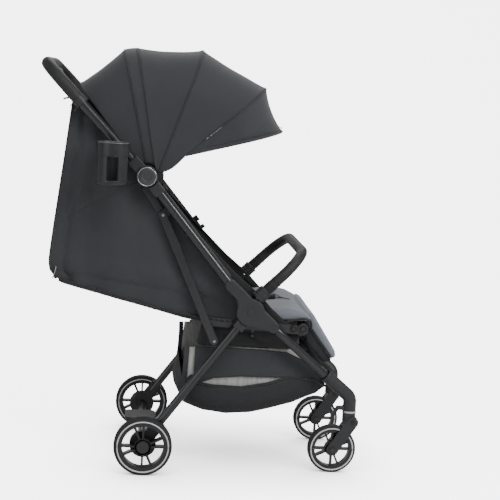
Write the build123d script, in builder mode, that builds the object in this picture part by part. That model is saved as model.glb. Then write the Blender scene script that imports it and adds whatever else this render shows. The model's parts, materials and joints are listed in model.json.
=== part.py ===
from build123d import *
from math import atan2, cos, degrees, radians, sin, sqrt
import os

# A folding baby stroller. Millimetres, +X forward, +Y to the rider's left, +Z up.
# The origin is on the ground, on the centre plane, straight under the rear axle.

# --- Overall layout: places are (x, z) in a side view ---
hub = (-22, 741)                # fold hub, which the canopy bows also turn on
frame_y = 213                   # centre plane of the side tubes, each side
upper_joint = (198, 482)        # side tube meets the junction moulding
lower_joint = (309, 382)        # front leg meets the junction moulding
leg_pivot = (250, 417)          # rear legs fold about this pin
front_leg_end = (470, 243)      # lower end of the front leg tube
front_leg_y = 168               # its distance from the centre plane there
caster_x = 524.7                # swivel axis of the front wheels
caster_y = 155
caster_trail = 40               # front axle sits this far behind the swivel axis

# --- Wheels ---
rear_wheel_radius = 72.5
rear_wheel_width = 28
rear_wheel_y = frame_y + 20.3
front_wheel_radius = 61.5
front_wheel_width = 24
tyre_share = 0.86               # inner radius of the tyre over the wheel radius
rim_share = 0.717               # inner radius of the rim ring over the wheel radius
rim_hub_share = 0.27            # radius of the rim's hub barrel over the wheel radius
spoke_width = 5
spoke_spread = 25               # degrees between the two spokes of a pair
spoke_pairs = 4
axle_radius = 5

# --- Tubes and walls ---
tube_radius = 12
tube_wall = 1.6
front_leg_radius = 11
rear_leg_radius = 10.5
moulding_half = 15              # half width of a moulding's arm around its tube
fit_gap = 0.1                   # a tube in its socket
run_gap = 0.3                   # a pin in its bore, and faces that pass each other

# --- Hub ---
hub_radius = 26
hub_split_y = frame_y
hub_inner_y = frame_y - 19
hub_outer_y = frame_y + 18
hub_arm_length = 55
hub_socket_start = 33
hub_pin_radius = 8
hub_cap_radius = 23
hub_cap_thick = 5
bow_pin_radius = 6
bow_pin_end_y = frame_y - 45

# --- Handle ---
handle_lean = 45.65             # degrees up from straight back
handle_reach = 361              # hub axis to the crossbar's centre
handle_corner = 70
grip_start = 250
grip_radius = 15.5
collar_radius = 16.5
collar_length = 18
trigger_size = (70, 12)         # along the crossbar and along the handle
trigger_thick = 9
trigger_travel = 5
guide_length = 18               # the cheeks beside the trigger, from the grip down
guide_cheek = 7
guide_inset = 2

# --- Cup holder ---
cup_place = (-105, -frame_y - 57)    # x, y of its axis
cup_base = 718
cup_height = 104
cup_radius = 38
cup_wall = 3
cup_ring_height = 34            # the full ring at the mouth
cup_clamp_at = 86               # distance up the handle tube
cup_clamp_length = 24

# --- Canopy: each bow has an angle (degrees up from straight ahead), reach and half width ---
bow_angles = (98, 67.6, 37.5, 19.6)
bow_reaches = (303, 329, 361, 351)
bow_half_widths = tuple(frame_y - 26 - 5 * i for i in range(4))
bow_thick = 3.5
bow_width = 7
bow_corner = 110
bow_eye_radius = 12
canopy_back_angle = 129
canopy_back_reach = 270
cloth_thick = 2.5
cloth_gap = 2.2                 # the straight cloth just clears the bow's edges
canopy_start = 36               # the cloth starts this far from the hub axis
canopy_seam = 0.2               # degrees between a panel's edge and its bow

# --- Junction moulding and rear legs ---
junction_inner_y = frame_y - 14
junction_outer_y = frame_y + 16
cheek = 5.5
seam_radius = 36                # the leg arm meets the fixed moulding on this circle
arm_disc_radius = 34
arm_end = 52                    # the arm's socket ends this far from its pin
pivot_pin_radius = 6
rear_leg_top_y = frame_y - 2
rear_leg_low_y = frame_y - 7.5
rear_leg_stop = 45              # the leg tube stops this far from the axle
housing_inner_y = rear_leg_low_y - 7.5
housing_outer_y = rear_leg_low_y + 12
housing_radius = 33
rear_cross_place = 224.6        # cross tube, as a distance down the leg from its pin
rear_cross_radius = 8
rear_bracket_radius = 14
axle_tube_radius = 11

# --- Brake pedal ---
pedal_back = 46
pedal_front = 34
pedal_half_width = 45
pedal_thick = 8
pedal_sleeve_radius = 15
pedal_sleeve_half = 24
pedal_top = 22                  # height of the tread over the axle's centre

# --- Front leg end, swivel and fork ---
leg_end_radius = 17
leg_end_overlap = 22            # length of leg tube inside the moulding
leg_end_bottom = 163
leg_end_corner_z = 197
ring_height = 5
ring_radius = 17.8
stem_radius = 8
stem_top = 192
fork_plate_gap = 1.5
fork_plate = 6.5
fork_plate_width = 29
fork_crown = (533, 135)
lock_hinge = (494, 168.5)
lock_tip = (481, 145)
lock_width = 8
lock_half = 4.5
lock_ear = 3
lock_pin_radius = 2

# --- Seat ---
recline_pivot = (150, 385)
legrest_pivot = (387, 372)
seat_rod_radius = 6
rail_inner_y = frame_y - 24
rail_thick = 4
rail_height = 22
seat_half_width = rail_inner_y - 0.5
seat_base_bottom = 319
seat_base_back = 168
seat_base_front = 368
cushion_bottom = 391
cushion_top = 433               # at its front edge
cushion_fall = 6                # the top is this much lower at its rear edge
cushion_back = 175
cushion_front = 396
backrest_length = 393
backrest_angle = 166.5          # degrees up from straight ahead, laid back
backrest_thick = 22
backrest_half_width = rail_inner_y - 5
legrest_angle = 40.5            # degrees down from straight ahead
legrest_length = 138
legrest_thick = 25
legrest_half_width = 160
legrest_boss_radius = 14

# --- Seat cloth at the sides and back ---
side_cloth_y = rail_inner_y + rail_thick + 2.3
curtain_top = (-214, 915)
curtain_low = (-262, 492)
side_cloth_bottom = (-240, 447)

# --- Basket ---
basket_half_width = rail_inner_y - 11
basket_rim = 180
basket_wall = 2.5
basket_outline = ((82, 180), (82, 157), (150, 135), (246, 127), (330, 138), (425, 174), (425, 180))

# --- Stay bars, bumper bar, small fittings ---
stay_top = (22, 647)
stay_foot = (165, 338)
stay_inner_y = frame_y - tube_radius
stay_thick = 8
stay_width = 20
bumper_foot = (266, 452)
bumper_lean = 45
bumper_reach = 160
bumper_corner = 85
bumper_radius = 13.5
bumper_socket_radius = 17
bumper_socket_length = 30
bumper_peg_radius = 8
bumper_peg_length = 24
rivet_radius = 4
rivet_head = 1.6
strap_width = 25
strap_thick = 2.5
buckle_size = (46, 48, 13)
buckle_setback = 86             # from the cushion's front edge to the buckle's centre
catch_place = (118, 576)

os.makedirs("parts", exist_ok=True)


def ahead(place, angle, length):
    """The side-view place that lies a length away from another, at an angle up from straight ahead."""
    return (place[0] + length * cos(radians(angle)), place[1] + length * sin(radians(angle)))


def span(a, b):
    """The distance between two side-view places."""
    return sqrt((b[0] - a[0]) ** 2 + (b[1] - a[1]) ** 2)


def angle_of(a, b):
    """The angle up from straight ahead of the line from one side-view place to another."""
    return degrees(atan2(b[1] - a[1], b[0] - a[0]))


def at(place, y):
    """A 3-D point from a side-view place and a distance from the centre plane."""
    return (place[0], y, place[1])


def radial_plane(angle):
    """The plane through the hub axis whose local x is +Y and local y points out at the angle."""
    out = Vector(cos(radians(angle)), 0, sin(radians(angle)))
    return Plane(origin=at(hub, 0), x_dir=(0, 1, 0), z_dir=Vector(0, 1, 0).cross(out))


def save(piece, name):
    """Name a finished piece and write its file."""
    piece.label = name
    export_step(piece, f"parts/{name}.step")


tube_angle = angle_of(hub, upper_joint)
joint_angle = angle_of(upper_joint, lower_joint)
handle_angle = 180 - handle_lean
rear_axle = (0, rear_wheel_radius)
front_axle = (caster_x - caster_trail, front_wheel_radius)
leg_angle = angle_of(leg_pivot, rear_axle)
leg_length = span(leg_pivot, rear_axle)

# --- Side tubes: from the hub down to the junction mouldings ---
side_tube_top = ahead(hub, tube_angle, hub_socket_start)
tube_insert = 20
side_tube_foot = ahead(upper_joint, joint_angle, tube_insert)
with BuildPart() as side_tubes:
    with BuildLine():
        side_path = FilletPolyline(
            at(side_tube_top, -frame_y), at(upper_joint, -frame_y), at(side_tube_foot, -frame_y), radius=60)
    with BuildSketch(Plane(origin=side_path @ 0, z_dir=side_path % 0)):
        Circle(tube_radius)
        Circle(tube_radius - tube_wall, mode=Mode.SUBTRACT)
    sweep(path=side_path)
    mirror(about=Plane.XZ)
save(side_tubes.part, "side_tubes")

# --- Front leg tubes: from the junction, leaning in towards the front wheels ---
front_tube_top = ahead(lower_joint, joint_angle, -18)
front_tube_bend = ahead(lower_joint, joint_angle, 28)
with BuildPart() as front_leg_tubes:
    with BuildLine():
        front_path = FilletPolyline(
            at(front_tube_top, -frame_y), at(front_tube_bend, -frame_y),
            at(front_leg_end, -front_leg_y), radius=120)
    with BuildSketch(Plane(origin=front_path @ 0, z_dir=front_path % 0)):
        Circle(front_leg_radius)
        Circle(front_leg_radius - tube_wall, mode=Mode.SUBTRACT)
    sweep(path=front_path)
    mirror(about=Plane.XZ)
save(front_leg_tubes.part, "front_leg_tubes")

# --- Junction mouldings: a clevis that holds both tubes and the rear leg's arm ---
junction_mid = (junction_outer_y + junction_inner_y) / 2
junction_half = (junction_outer_y - junction_inner_y) / 2
slot_half = junction_half - cheek
with BuildPart() as junctions:
    with BuildSketch(Plane.XZ.offset(junction_mid)):
        with Locations(ahead(upper_joint, joint_angle, span(upper_joint, lower_joint) / 2)):
            SlotCenterToCenter(span(upper_joint, lower_joint), 2 * moulding_half, rotation=joint_angle)
        with Locations(leg_pivot):
            Circle(seam_radius - 0.5)
    extrude(amount=junction_half, both=True)
    fillet(junctions.edges().filter_by(Plane.XZ).group_by(Axis.Y)[0], 2.5)
    with BuildSketch(Plane.XZ.offset(junction_mid)):
        with Locations(leg_pivot):
            Circle(seam_radius + 0.5)
    extrude(amount=slot_half, both=True, mode=Mode.SUBTRACT)
    with BuildSketch(Plane.XZ.offset(junction_mid)):
        with Locations(leg_pivot):
            Circle(pivot_pin_radius + fit_gap)
    extrude(amount=junction_half, both=True, mode=Mode.SUBTRACT)
    with BuildSketch(Plane(origin=side_path @ 0, z_dir=side_path % 0)):
        Circle(tube_radius + fit_gap)
    sweep(path=side_path, mode=Mode.SUBTRACT)
    with BuildSketch(Plane(origin=front_path @ 0, z_dir=front_path % 0)):
        Circle(front_leg_radius + fit_gap)
    sweep(path=front_path, mode=Mode.SUBTRACT)
    mirror(about=Plane.XZ)
save(junctions.part, "junctions")

# --- Rear leg arms: a disc in the clevis, which widens to the leg's socket past the seam ---
leg_tube_top = ahead(leg_pivot, leg_angle, seam_radius + 2)
leg_tube_low = ahead(rear_axle, leg_angle, -rear_leg_stop)
leg_tube_line = Vector(*at(leg_tube_low, -rear_leg_low_y)) - Vector(*at(leg_tube_top, -rear_leg_top_y))
leg_tube_plane = Plane(origin=at(leg_tube_top, -rear_leg_top_y), z_dir=leg_tube_line)
with BuildPart() as rear_leg_arms:
    with BuildSketch(Plane.XZ.offset(junction_mid)):
        with Locations(ahead(leg_pivot, leg_angle, arm_end / 2)):
            Rectangle(arm_end, 2 * moulding_half - 2, rotation=leg_angle)
        with Locations(leg_pivot):
            Circle(seam_radius, mode=Mode.SUBTRACT)
    extrude(amount=junction_half, both=True)
    with BuildSketch(Plane.XZ.offset(junction_mid)):
        with Locations(leg_pivot):
            Circle(arm_disc_radius)
        with Locations(ahead(leg_pivot, leg_angle, arm_end / 2)):
            Rectangle(arm_end, 2 * moulding_half - 3, rotation=leg_angle)
    extrude(amount=slot_half - run_gap, both=True)
    with BuildSketch(Plane.XZ.offset(junction_mid)):
        with Locations(leg_pivot):
            Circle(pivot_pin_radius + run_gap)
    extrude(amount=junction_half, both=True, mode=Mode.SUBTRACT)
    with BuildSketch(leg_tube_plane):
        Circle(rear_leg_radius + fit_gap)
    extrude(amount=arm_end, mode=Mode.SUBTRACT)
    mirror(about=Plane.XZ)
save(rear_leg_arms.part, "rear_leg_arms")

# --- Rear leg tubes ---
with BuildPart() as rear_leg_tubes:
    with BuildSketch(leg_tube_plane):
        Circle(rear_leg_radius)
        Circle(rear_leg_radius - tube_wall, mode=Mode.SUBTRACT)
    extrude(amount=leg_tube_line.length)
    mirror(about=Plane.XZ)
save(rear_leg_tubes.part, "rear_leg_tubes")

# --- Rear wheel housings: round casings that carry the axle and take the leg's lower end ---
housing_mid = (housing_inner_y + housing_outer_y) / 2
housing_half = (housing_outer_y - housing_inner_y) / 2
housing_top = ahead(rear_axle, leg_angle, -(rear_leg_stop + 24))
with BuildPart() as rear_wheel_housings:
    with BuildSketch(Plane.XZ.offset(housing_mid)):
        with Locations(rear_axle):
            Circle(housing_radius)
        with Locations(ahead(rear_axle, leg_angle, -span(rear_axle, housing_top) / 2)):
            Rectangle(span(rear_axle, housing_top), 2 * moulding_half, rotation=leg_angle)
    extrude(amount=housing_half, both=True)
    fillet(rear_wheel_housings.edges().filter_by(Plane.XZ).group_by(Axis.Y)[-1], 4)
    with BuildSketch(Plane.XZ.offset(housing_mid)):
        with Locations(rear_axle):
            Circle(axle_radius + fit_gap)
    extrude(amount=housing_half, both=True, mode=Mode.SUBTRACT)
    with BuildSketch(leg_tube_plane):
        Circle(rear_leg_radius + fit_gap)
    extrude(amount=leg_tube_line.length + fit_gap, mode=Mode.SUBTRACT)
    mirror(about=Plane.XZ)
save(rear_wheel_housings.part, "rear_wheel_housings")

# --- Rear axle tube and pins ---
axle_tube_half = housing_inner_y - run_gap
with BuildPart() as rear_axle_tube:
    with BuildSketch(Plane.XZ):
        with Locations(rear_axle):
            Circle(axle_tube_radius)
            Circle(axle_radius + fit_gap, mode=Mode.SUBTRACT)
    extrude(amount=axle_tube_half, both=True)
save(rear_axle_tube.part, "rear_axle_tube")

axle_pin_inner_y = 150
axle_pin_outer_y = rear_wheel_y + rear_wheel_width / 2 + 1
with BuildPart() as rear_axle_pins:
    with BuildSketch(Plane.XZ.offset(axle_pin_inner_y)):
        with Locations(rear_axle):
            Circle(axle_radius)
    extrude(amount=axle_pin_outer_y - axle_pin_inner_y)
    with BuildSketch(Plane.XZ.offset(axle_pin_outer_y)):
        with Locations(rear_axle):
            Circle(axle_radius + 3)
    extrude(amount=2)
    mirror(about=Plane.XZ)
save(rear_axle_pins.part, "rear_axle_pins")

# --- Rear cross tube between the legs, on two round brackets ---
cross_place = ahead(leg_pivot, leg_angle, rear_cross_place)
cross_share = (rear_cross_place - seam_radius - 2) / (leg_length - rear_leg_stop - seam_radius - 2)
leg_y_at_cross = rear_leg_top_y + (rear_leg_low_y - rear_leg_top_y) * cross_share
bracket_outer_y = leg_y_at_cross - rear_leg_radius - run_gap
bracket_length = 10
with BuildPart() as rear_cross_tube:
    with BuildSketch(Plane.XZ):
        with Locations(cross_place):
            Circle(rear_cross_radius)
            Circle(rear_cross_radius - tube_wall, mode=Mode.SUBTRACT)
    extrude(amount=bracket_outer_y - 2, both=True)
save(rear_cross_tube.part, "rear_cross_tube")

with BuildPart() as rear_cross_brackets:
    with BuildSketch(Plane.XZ.offset(bracket_outer_y - bracket_length)):
        with Locations(cross_place):
            Circle(rear_bracket_radius)
    extrude(amount=bracket_length)
    fillet(rear_cross_brackets.edges().group_by(Axis.Y)[-1], 3)
    with BuildSketch(Plane.XZ.offset(bracket_outer_y - bracket_length)):
        with Locations(cross_place):
            Circle(rear_cross_radius + fit_gap)
    extrude(amount=bracket_length - 1.8, mode=Mode.SUBTRACT)
    mirror(about=Plane.XZ)
save(rear_cross_brackets.part, "rear_cross_brackets")

# --- Brake pedal: a rocker with a sleeve round the axle tube ---
with BuildPart() as brake_pedal:
    with BuildSketch(Plane.XZ):
        with Locations(rear_axle):
            Circle(pedal_sleeve_radius)
    extrude(amount=pedal_sleeve_half, both=True)
    with BuildSketch(Plane.XY.offset(rear_axle[1] + pedal_top - pedal_thick)):
        with Locations(((pedal_front - pedal_back) / 2, 0)):
            RectangleRounded(pedal_front + pedal_back, 2 * pedal_half_width, 14)
    extrude(amount=pedal_thick)
    fillet(brake_pedal.edges().group_by(Axis.Z)[-1], 3)
    with BuildSketch(Plane.XZ):
        with Locations(rear_axle):
            Circle(axle_tube_radius + run_gap)
    extrude(amount=pedal_half_width, both=True, mode=Mode.SUBTRACT)
save(brake_pedal.part, "brake_pedal")


# --- Wheels: a tyre and a spoked rim each, made the same way at all four corners ---
def make_wheel(centre, side_y, radius, width, corner):
    """Write the tyre and the rim of one wheel."""
    plane = Plane(origin=at(centre, side_y), x_dir=(1, 0, 0), z_dir=(0, -1, 0))
    with BuildPart() as tyre:
        with BuildSketch(plane):
            Circle(radius)
            Circle(radius * tyre_share, mode=Mode.SUBTRACT)
        extrude(amount=width / 2, both=True)
        outer_edges = tyre.edges().filter_by(GeomType.CIRCLE).group_by(SortBy.RADIUS)[-1]
        fillet(outer_edges, (1 - tyre_share) * radius * 0.6)
    save(tyre.part, f"{corner}_tyre")
    with BuildPart() as rim:
        with BuildSketch(plane):
            Circle(radius * tyre_share)
            Circle(radius * rim_share, mode=Mode.SUBTRACT)
        extrude(amount=width / 2 - 2, both=True)
        with BuildSketch(plane):
            Circle(radius * rim_hub_share)
        extrude(amount=width / 2, both=True)
        with BuildSketch(plane):
            for pair in range(spoke_pairs):
                for lean in (0, spoke_spread):
                    turn = pair * 360 / spoke_pairs + lean
                    with Locations(ahead((0, 0), turn, radius * rim_share / 2)):
                        Rectangle(radius * rim_share + 4, spoke_width, rotation=turn)
        extrude(amount=width / 3, both=True)
        with BuildSketch(plane):
            Circle(axle_radius + run_gap)
        extrude(amount=width, both=True, mode=Mode.SUBTRACT)
    save(rim.part, f"{corner}_rim")


for side, sign in (("right", -1), ("left", 1)):
    make_wheel(rear_axle, sign * rear_wheel_y, rear_wheel_radius, rear_wheel_width, f"rear_{side}")
    make_wheel(front_axle, sign * caster_y, front_wheel_radius, front_wheel_width, f"front_{side}")

# --- Front leg ends: elbows from the leaning tube to the upright swivel ---
front_direction = Vector(*at(front_leg_end, -front_leg_y)) - Vector(*at(front_tube_bend, -frame_y))
front_unit = front_direction.normalized()
elbow_start = Vector(*at(front_leg_end, -front_leg_y)) - front_unit * leg_end_overlap
with BuildPart() as leg_ends:
    with BuildLine():
        elbow = FilletPolyline(
            elbow_start, (caster_x, -caster_y, leg_end_corner_z),
            (caster_x, -caster_y, leg_end_bottom), radius=26)
    with BuildSketch(Plane(origin=elbow @ 0, z_dir=elbow % 0)):
        Circle(leg_end_radius)
    sweep(path=elbow)
    with BuildSketch(Plane.XZ.offset(caster_y)):
        with Locations(ahead(lock_hinge, 0, 12)):
            Rectangle(24, lock_width + 2)
        with Locations(lock_hinge):
            Circle(lock_width / 2 + 1)
    extrude(amount=lock_half + lock_ear, both=True)
    with BuildSketch(Plane.XZ.offset(caster_y)):
        with Locations(lock_hinge):
            Circle(lock_width / 2 + 3.2)
    extrude(amount=lock_half + run_gap, both=True, mode=Mode.SUBTRACT)
    with BuildSketch(Plane.XZ.offset(caster_y)):
        with Locations(lock_hinge):
            Circle(lock_pin_radius)
    extrude(amount=lock_half + lock_ear, both=True)
    with BuildSketch(Plane(origin=elbow_start - front_unit * 3, z_dir=front_unit)):
        Circle(front_leg_radius + fit_gap)
    extrude(amount=leg_end_overlap + 3 + fit_gap, mode=Mode.SUBTRACT)
    with BuildSketch(Plane.XY.offset(leg_end_bottom)):
        with Locations((caster_x, -caster_y)):
            Circle(stem_radius + run_gap)
    extrude(amount=stem_top - leg_end_bottom + run_gap, mode=Mode.SUBTRACT)
    mirror(about=Plane.XZ)
save(leg_ends.part, "leg_ends")

# --- Bright rings under the leg ends ---
with BuildPart() as swivel_rings:
    with BuildSketch(Plane.XY.offset(leg_end_bottom - ring_height)):
        with Locations((caster_x, -caster_y)):
            Circle(ring_radius)
            Circle(stem_radius + run_gap, mode=Mode.SUBTRACT)
    extrude(amount=ring_height)
    mirror(about=Plane.XZ)
save(swivel_rings.part, "swivel_rings")


# --- Front forks with their stems, and the levers that lock the swivel ---
def make_fork(sign, side):
    """Write one swivelling fork and the lock lever above it."""
    wheel_half = front_wheel_width / 2 + fork_plate_gap
    plane = Plane(origin=(0, sign * caster_y, 0), x_dir=(1, 0, 0), z_dir=(0, -1, 0))
    arm = span(front_axle, fork_crown)
    with BuildPart() as fork:
        with BuildSketch(plane):
            with Locations(ahead(front_axle, angle_of(front_axle, fork_crown), arm / 2)):
                SlotCenterToCenter(arm, fork_plate_width, rotation=angle_of(front_axle, fork_crown))
        extrude(amount=wheel_half + fork_plate, both=True)
        with BuildSketch(plane):
            with Locations(front_axle):
                Circle(front_wheel_radius + 3)
            with Locations(ahead(front_axle, angle_of(front_axle, fork_crown), arm / 4)):
                Rectangle(arm / 2, fork_plate_width + 2, rotation=angle_of(front_axle, fork_crown))
        extrude(amount=wheel_half, both=True, mode=Mode.SUBTRACT)
        with BuildSketch(Plane.XY.offset(fork_crown[1])):
            with Locations((caster_x, sign * caster_y)):
                Circle(leg_end_radius)
        extrude(amount=leg_end_bottom - ring_height - run_gap - fork_crown[1])
        with BuildSketch(Plane.XY.offset(fork_crown[1])):
            with Locations((caster_x, sign * caster_y)):
                Circle(stem_radius)
        extrude(amount=stem_top - fork_crown[1])
        with BuildSketch(plane):
            with Locations(front_axle):
                Circle(axle_radius)
        extrude(amount=wheel_half, both=True)
        with BuildSketch(plane):
            with Locations(front_axle):
                Circle(axle_radius + 3)
        extrude(amount=wheel_half + fork_plate + 2, both=True)
        with BuildSketch(plane):
            with Locations(front_axle):
                Circle(axle_radius + 5)
                Circle(axle_radius, mode=Mode.SUBTRACT)
        extrude(amount=wheel_half, both=True, mode=Mode.SUBTRACT)
    save(fork.part, f"front_{side}_fork")
    lever = span(lock_hinge, lock_tip)
    with BuildPart() as lock:
        with BuildSketch(plane):
            with Locations(ahead(lock_hinge, angle_of(lock_hinge, lock_tip), lever / 2)):
                SlotCenterToCenter(lever, lock_width, rotation=angle_of(lock_hinge, lock_tip))
            with Locations(lock_hinge):
                Circle(lock_pin_radius + run_gap, mode=Mode.SUBTRACT)
        extrude(amount=lock_half, both=True)
    save(lock.part, f"front_{side}_swivel_lock")


make_fork(-1, "right")
make_fork(1, "left")


# --- Hub halves: the inner half is on the side tube, the outer half turns with the handle ---
def hub_half(angle, disc_from, disc_to):
    """One hub half: a disc, and past the disc a wide socket arm for a tube at the angle."""
    arm_centre = ahead(hub, angle, hub_arm_length / 2)
    arm_from = max(disc_from, frame_y - moulding_half)
    arm_to = min(disc_to, frame_y + moulding_half)
    with BuildPart() as half:
        with BuildSketch(Plane.XZ.offset(disc_from)):
            with Locations(hub):
                Circle(hub_radius)
        extrude(amount=disc_to - disc_from)
        with BuildSketch(Plane.XZ.offset(arm_from)):
            with Locations(arm_centre):
                Rectangle(hub_arm_length, 2 * moulding_half, rotation=angle)
        extrude(amount=arm_to - arm_from)
        with BuildSketch(Plane.XZ.offset(frame_y)):
            with Locations(arm_centre):
                Rectangle(hub_arm_length, 2 * moulding_half, rotation=angle)
            with Locations(hub):
                Circle(hub_radius + 1.5, mode=Mode.SUBTRACT)
        extrude(amount=moulding_half, both=True)
        with BuildSketch(Plane(origin=at(ahead(hub, angle, hub_socket_start), -frame_y),
                               z_dir=(cos(radians(angle)), 0, sin(radians(angle))))):
            Circle(tube_radius + fit_gap)
        extrude(amount=hub_arm_length, mode=Mode.SUBTRACT)
    return half.part


with BuildPart() as hub_inners:
    add(hub_half(tube_angle, hub_inner_y, hub_split_y - run_gap))
    with BuildSketch(Plane.XZ.offset(hub_split_y - run_gap)):
        with Locations(hub):
            Circle(hub_pin_radius)
    extrude(amount=hub_outer_y - 2 * run_gap - 2 - hub_split_y)
    with BuildSketch(Plane.XZ.offset(bow_pin_end_y)):
        with Locations(hub):
            Circle(bow_pin_radius)
    extrude(amount=hub_inner_y - bow_pin_end_y)
    mirror(about=Plane.XZ)
save(hub_inners.part, "hub_inners")

with BuildPart() as hub_outers:
    add(hub_half(handle_angle, hub_split_y + run_gap, hub_outer_y))
    with BuildSketch(Plane.XZ.offset(hub_split_y)):
        with Locations(hub):
            Circle(hub_pin_radius + run_gap)
    extrude(amount=hub_outer_y - 2 - hub_split_y, mode=Mode.SUBTRACT)
    mirror(about=Plane.XZ)
save(hub_outers.part, "hub_outers")

with BuildPart() as hub_caps:
    with BuildSketch(Plane.XZ.offset(hub_outer_y)):
        with Locations(hub):
            Circle(hub_cap_radius)
    extrude(amount=hub_cap_thick)
    fillet(hub_caps.edges().group_by(Axis.Y)[0], 1.5)
    mirror(about=Plane.XZ)
save(hub_caps.part, "hub_caps")


# --- Handle: one bent tube, with a soft grip over its top and a collar at each end of the grip ---
def handle_run(start):
    """The handle's centre line from a distance up one arm, over the crossbar, to the other arm."""
    plane = radial_plane(handle_angle)
    corners = ((-frame_y, start), (-frame_y, handle_reach), (frame_y, handle_reach), (frame_y, start))
    return [plane.from_local_coords(Vector(y, out)) for y, out in corners]


with BuildPart() as handle_tube:
    with BuildLine():
        handle_path = FilletPolyline(*handle_run(hub_socket_start), radius=handle_corner)
    with BuildSketch(Plane(origin=handle_path @ 0, z_dir=handle_path % 0)):
        Circle(tube_radius)
        Circle(tube_radius - tube_wall, mode=Mode.SUBTRACT)
    sweep(path=handle_path)
save(handle_tube.part, "handle_tube")

trigger_gap = 0.5
with BuildPart() as handle_grip:
    with BuildLine():
        grip_path = FilletPolyline(*handle_run(grip_start), radius=handle_corner)
    with BuildSketch(Plane(origin=grip_path @ 0, z_dir=grip_path % 0)):
        Circle(grip_radius)
        Circle(tube_radius + fit_gap, mode=Mode.SUBTRACT)
    sweep(path=grip_path)
save(handle_grip.part, "handle_grip")

with BuildPart() as handle_collars:
    with BuildSketch(Plane(origin=at(ahead(hub, handle_angle, grip_start - collar_length), -frame_y),
                           z_dir=(cos(radians(handle_angle)), 0, sin(radians(handle_angle))))):
        Circle(collar_radius)
        Circle(tube_radius + fit_gap, mode=Mode.SUBTRACT)
    extrude(amount=collar_length - run_gap)
    mirror(about=Plane.XZ)
save(handle_collars.part, "handle_collars")

# --- Fold trigger: a bar under the middle of the grip, pulled towards the crossbar ---
trigger_from = handle_reach - grip_radius - trigger_travel - trigger_size[1] - trigger_gap
with BuildPart() as fold_trigger:
    with BuildSketch(radial_plane(handle_angle)):
        with Locations((0, trigger_from + trigger_size[1] / 2)):
            RectangleRounded(trigger_size[0], trigger_size[1], 5)
    extrude(amount=trigger_thick, both=True)
    fillet(fold_trigger.edges().filter_by(GeomType.LINE).group_by(SortBy.LENGTH)[-1], 1.5)
save(fold_trigger.part, "fold_trigger")

with BuildPart() as trigger_guide:
    with BuildSketch(radial_plane(handle_angle)):
        with Locations((0, handle_reach - grip_radius - guide_length / 2)):
            Rectangle(trigger_size[0] + 2 * guide_cheek, guide_length)
            Rectangle(trigger_size[0] + 2 * run_gap, 2 * guide_length, mode=Mode.SUBTRACT)
    extrude(amount=trigger_thick - guide_inset, both=True)
    with BuildSketch(Plane.XZ):
        with Locations(ahead(hub, handle_angle, handle_reach)):
            Circle(grip_radius + fit_gap)
    extrude(amount=trigger_size[0], both=True, mode=Mode.SUBTRACT)
save(trigger_guide.part, "trigger_guide")

# --- Cup holder: a cup with a full ring at its mouth and three open windows, and its clamp ---
cup_top = cup_base + cup_height
with BuildPart() as cup_holder:
    with BuildSketch(Plane.XY.offset(cup_base)):
        with Locations(cup_place):
            Circle(cup_radius)
    extrude(amount=cup_height)
    fillet(cup_holder.edges().group_by(Axis.Z)[0], 8)
    with BuildSketch(Plane.XY.offset(cup_base + cup_wall)):
        with Locations(cup_place):
            Circle(cup_radius - cup_wall)
    extrude(amount=cup_height, mode=Mode.SUBTRACT)
    with BuildSketch(Plane.XY.offset(cup_base + 14)):
        for turn in (0, 180, 270):
            with Locations((cup_place[0] + cup_radius * cos(radians(turn)),
                            cup_place[1] + cup_radius * sin(radians(turn)))):
                Rectangle(30, 26, rotation=turn)
    extrude(amount=cup_height - cup_ring_height - 14, mode=Mode.SUBTRACT)
save(cup_holder.part, "cup_holder")

clamp_at = ahead(hub, handle_angle, cup_clamp_at - cup_clamp_length / 2)
cup_inner_y = cup_place[1] + cup_radius
with BuildPart() as cup_clamp:
    with BuildSketch(Plane(origin=at(clamp_at, -frame_y),
                           z_dir=(cos(radians(handle_angle)), 0, sin(radians(handle_angle))))):
        Circle(tube_radius + 4)
    extrude(amount=cup_clamp_length)
    clamp_mid = ahead(hub, handle_angle, cup_clamp_at)
    with BuildSketch(Plane.XZ.offset(frame_y + tube_radius)):
        with Locations((cup_place[0] + 8, clamp_mid[1] + 3)):
            Rectangle(30, 22)
    extrude(amount=-cup_inner_y - frame_y - tube_radius + cup_wall)
    with BuildSketch(Plane.XY.offset(cup_base)):
        with Locations(cup_place):
            Circle(cup_radius + fit_gap)
    extrude(amount=cup_height, mode=Mode.SUBTRACT)
    with BuildSketch(Plane(origin=at(hub, -frame_y),
                           z_dir=(cos(radians(handle_angle)), 0, sin(radians(handle_angle))))):
        Circle(tube_radius + fit_gap)
    extrude(amount=handle_reach / 2, mode=Mode.SUBTRACT)
save(cup_clamp.part, "cup_clamp")


# --- Canopy bows: flat springy strips, each with an eye at both ends on the hub's inner pin ---
def make_bow(number, name):
    """Write one canopy bow."""
    half = bow_half_widths[number]
    reach = bow_reaches[number]
    with BuildPart() as bow:
        with BuildSketch(radial_plane(bow_angles[number])) as outline:
            with BuildLine():
                FilletPolyline((-half, 0), (-half, reach), (half, reach), (half, 0), radius=bow_corner)
            trace(line_width=bow_thick)
        extrude(amount=bow_width / 2, both=True)
        with BuildSketch(Plane.XZ.offset(half)):
            with Locations(hub):
                Circle(bow_eye_radius)
        extrude(amount=bow_thick / 2, both=True)
        with BuildSketch(Plane.XZ.offset(-half)):
            with Locations(hub):
                Circle(bow_eye_radius)
        extrude(amount=bow_thick / 2, both=True)
        with BuildSketch(Plane.XZ):
            with Locations(hub):
                Circle(bow_pin_radius + run_gap)
        extrude(amount=half + bow_thick, both=True, mode=Mode.SUBTRACT)
    save(bow.part, name)


for number, name in enumerate(("rear", "middle", "front", "visor")):
    make_bow(number, f"canopy_bow_{name}")


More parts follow.
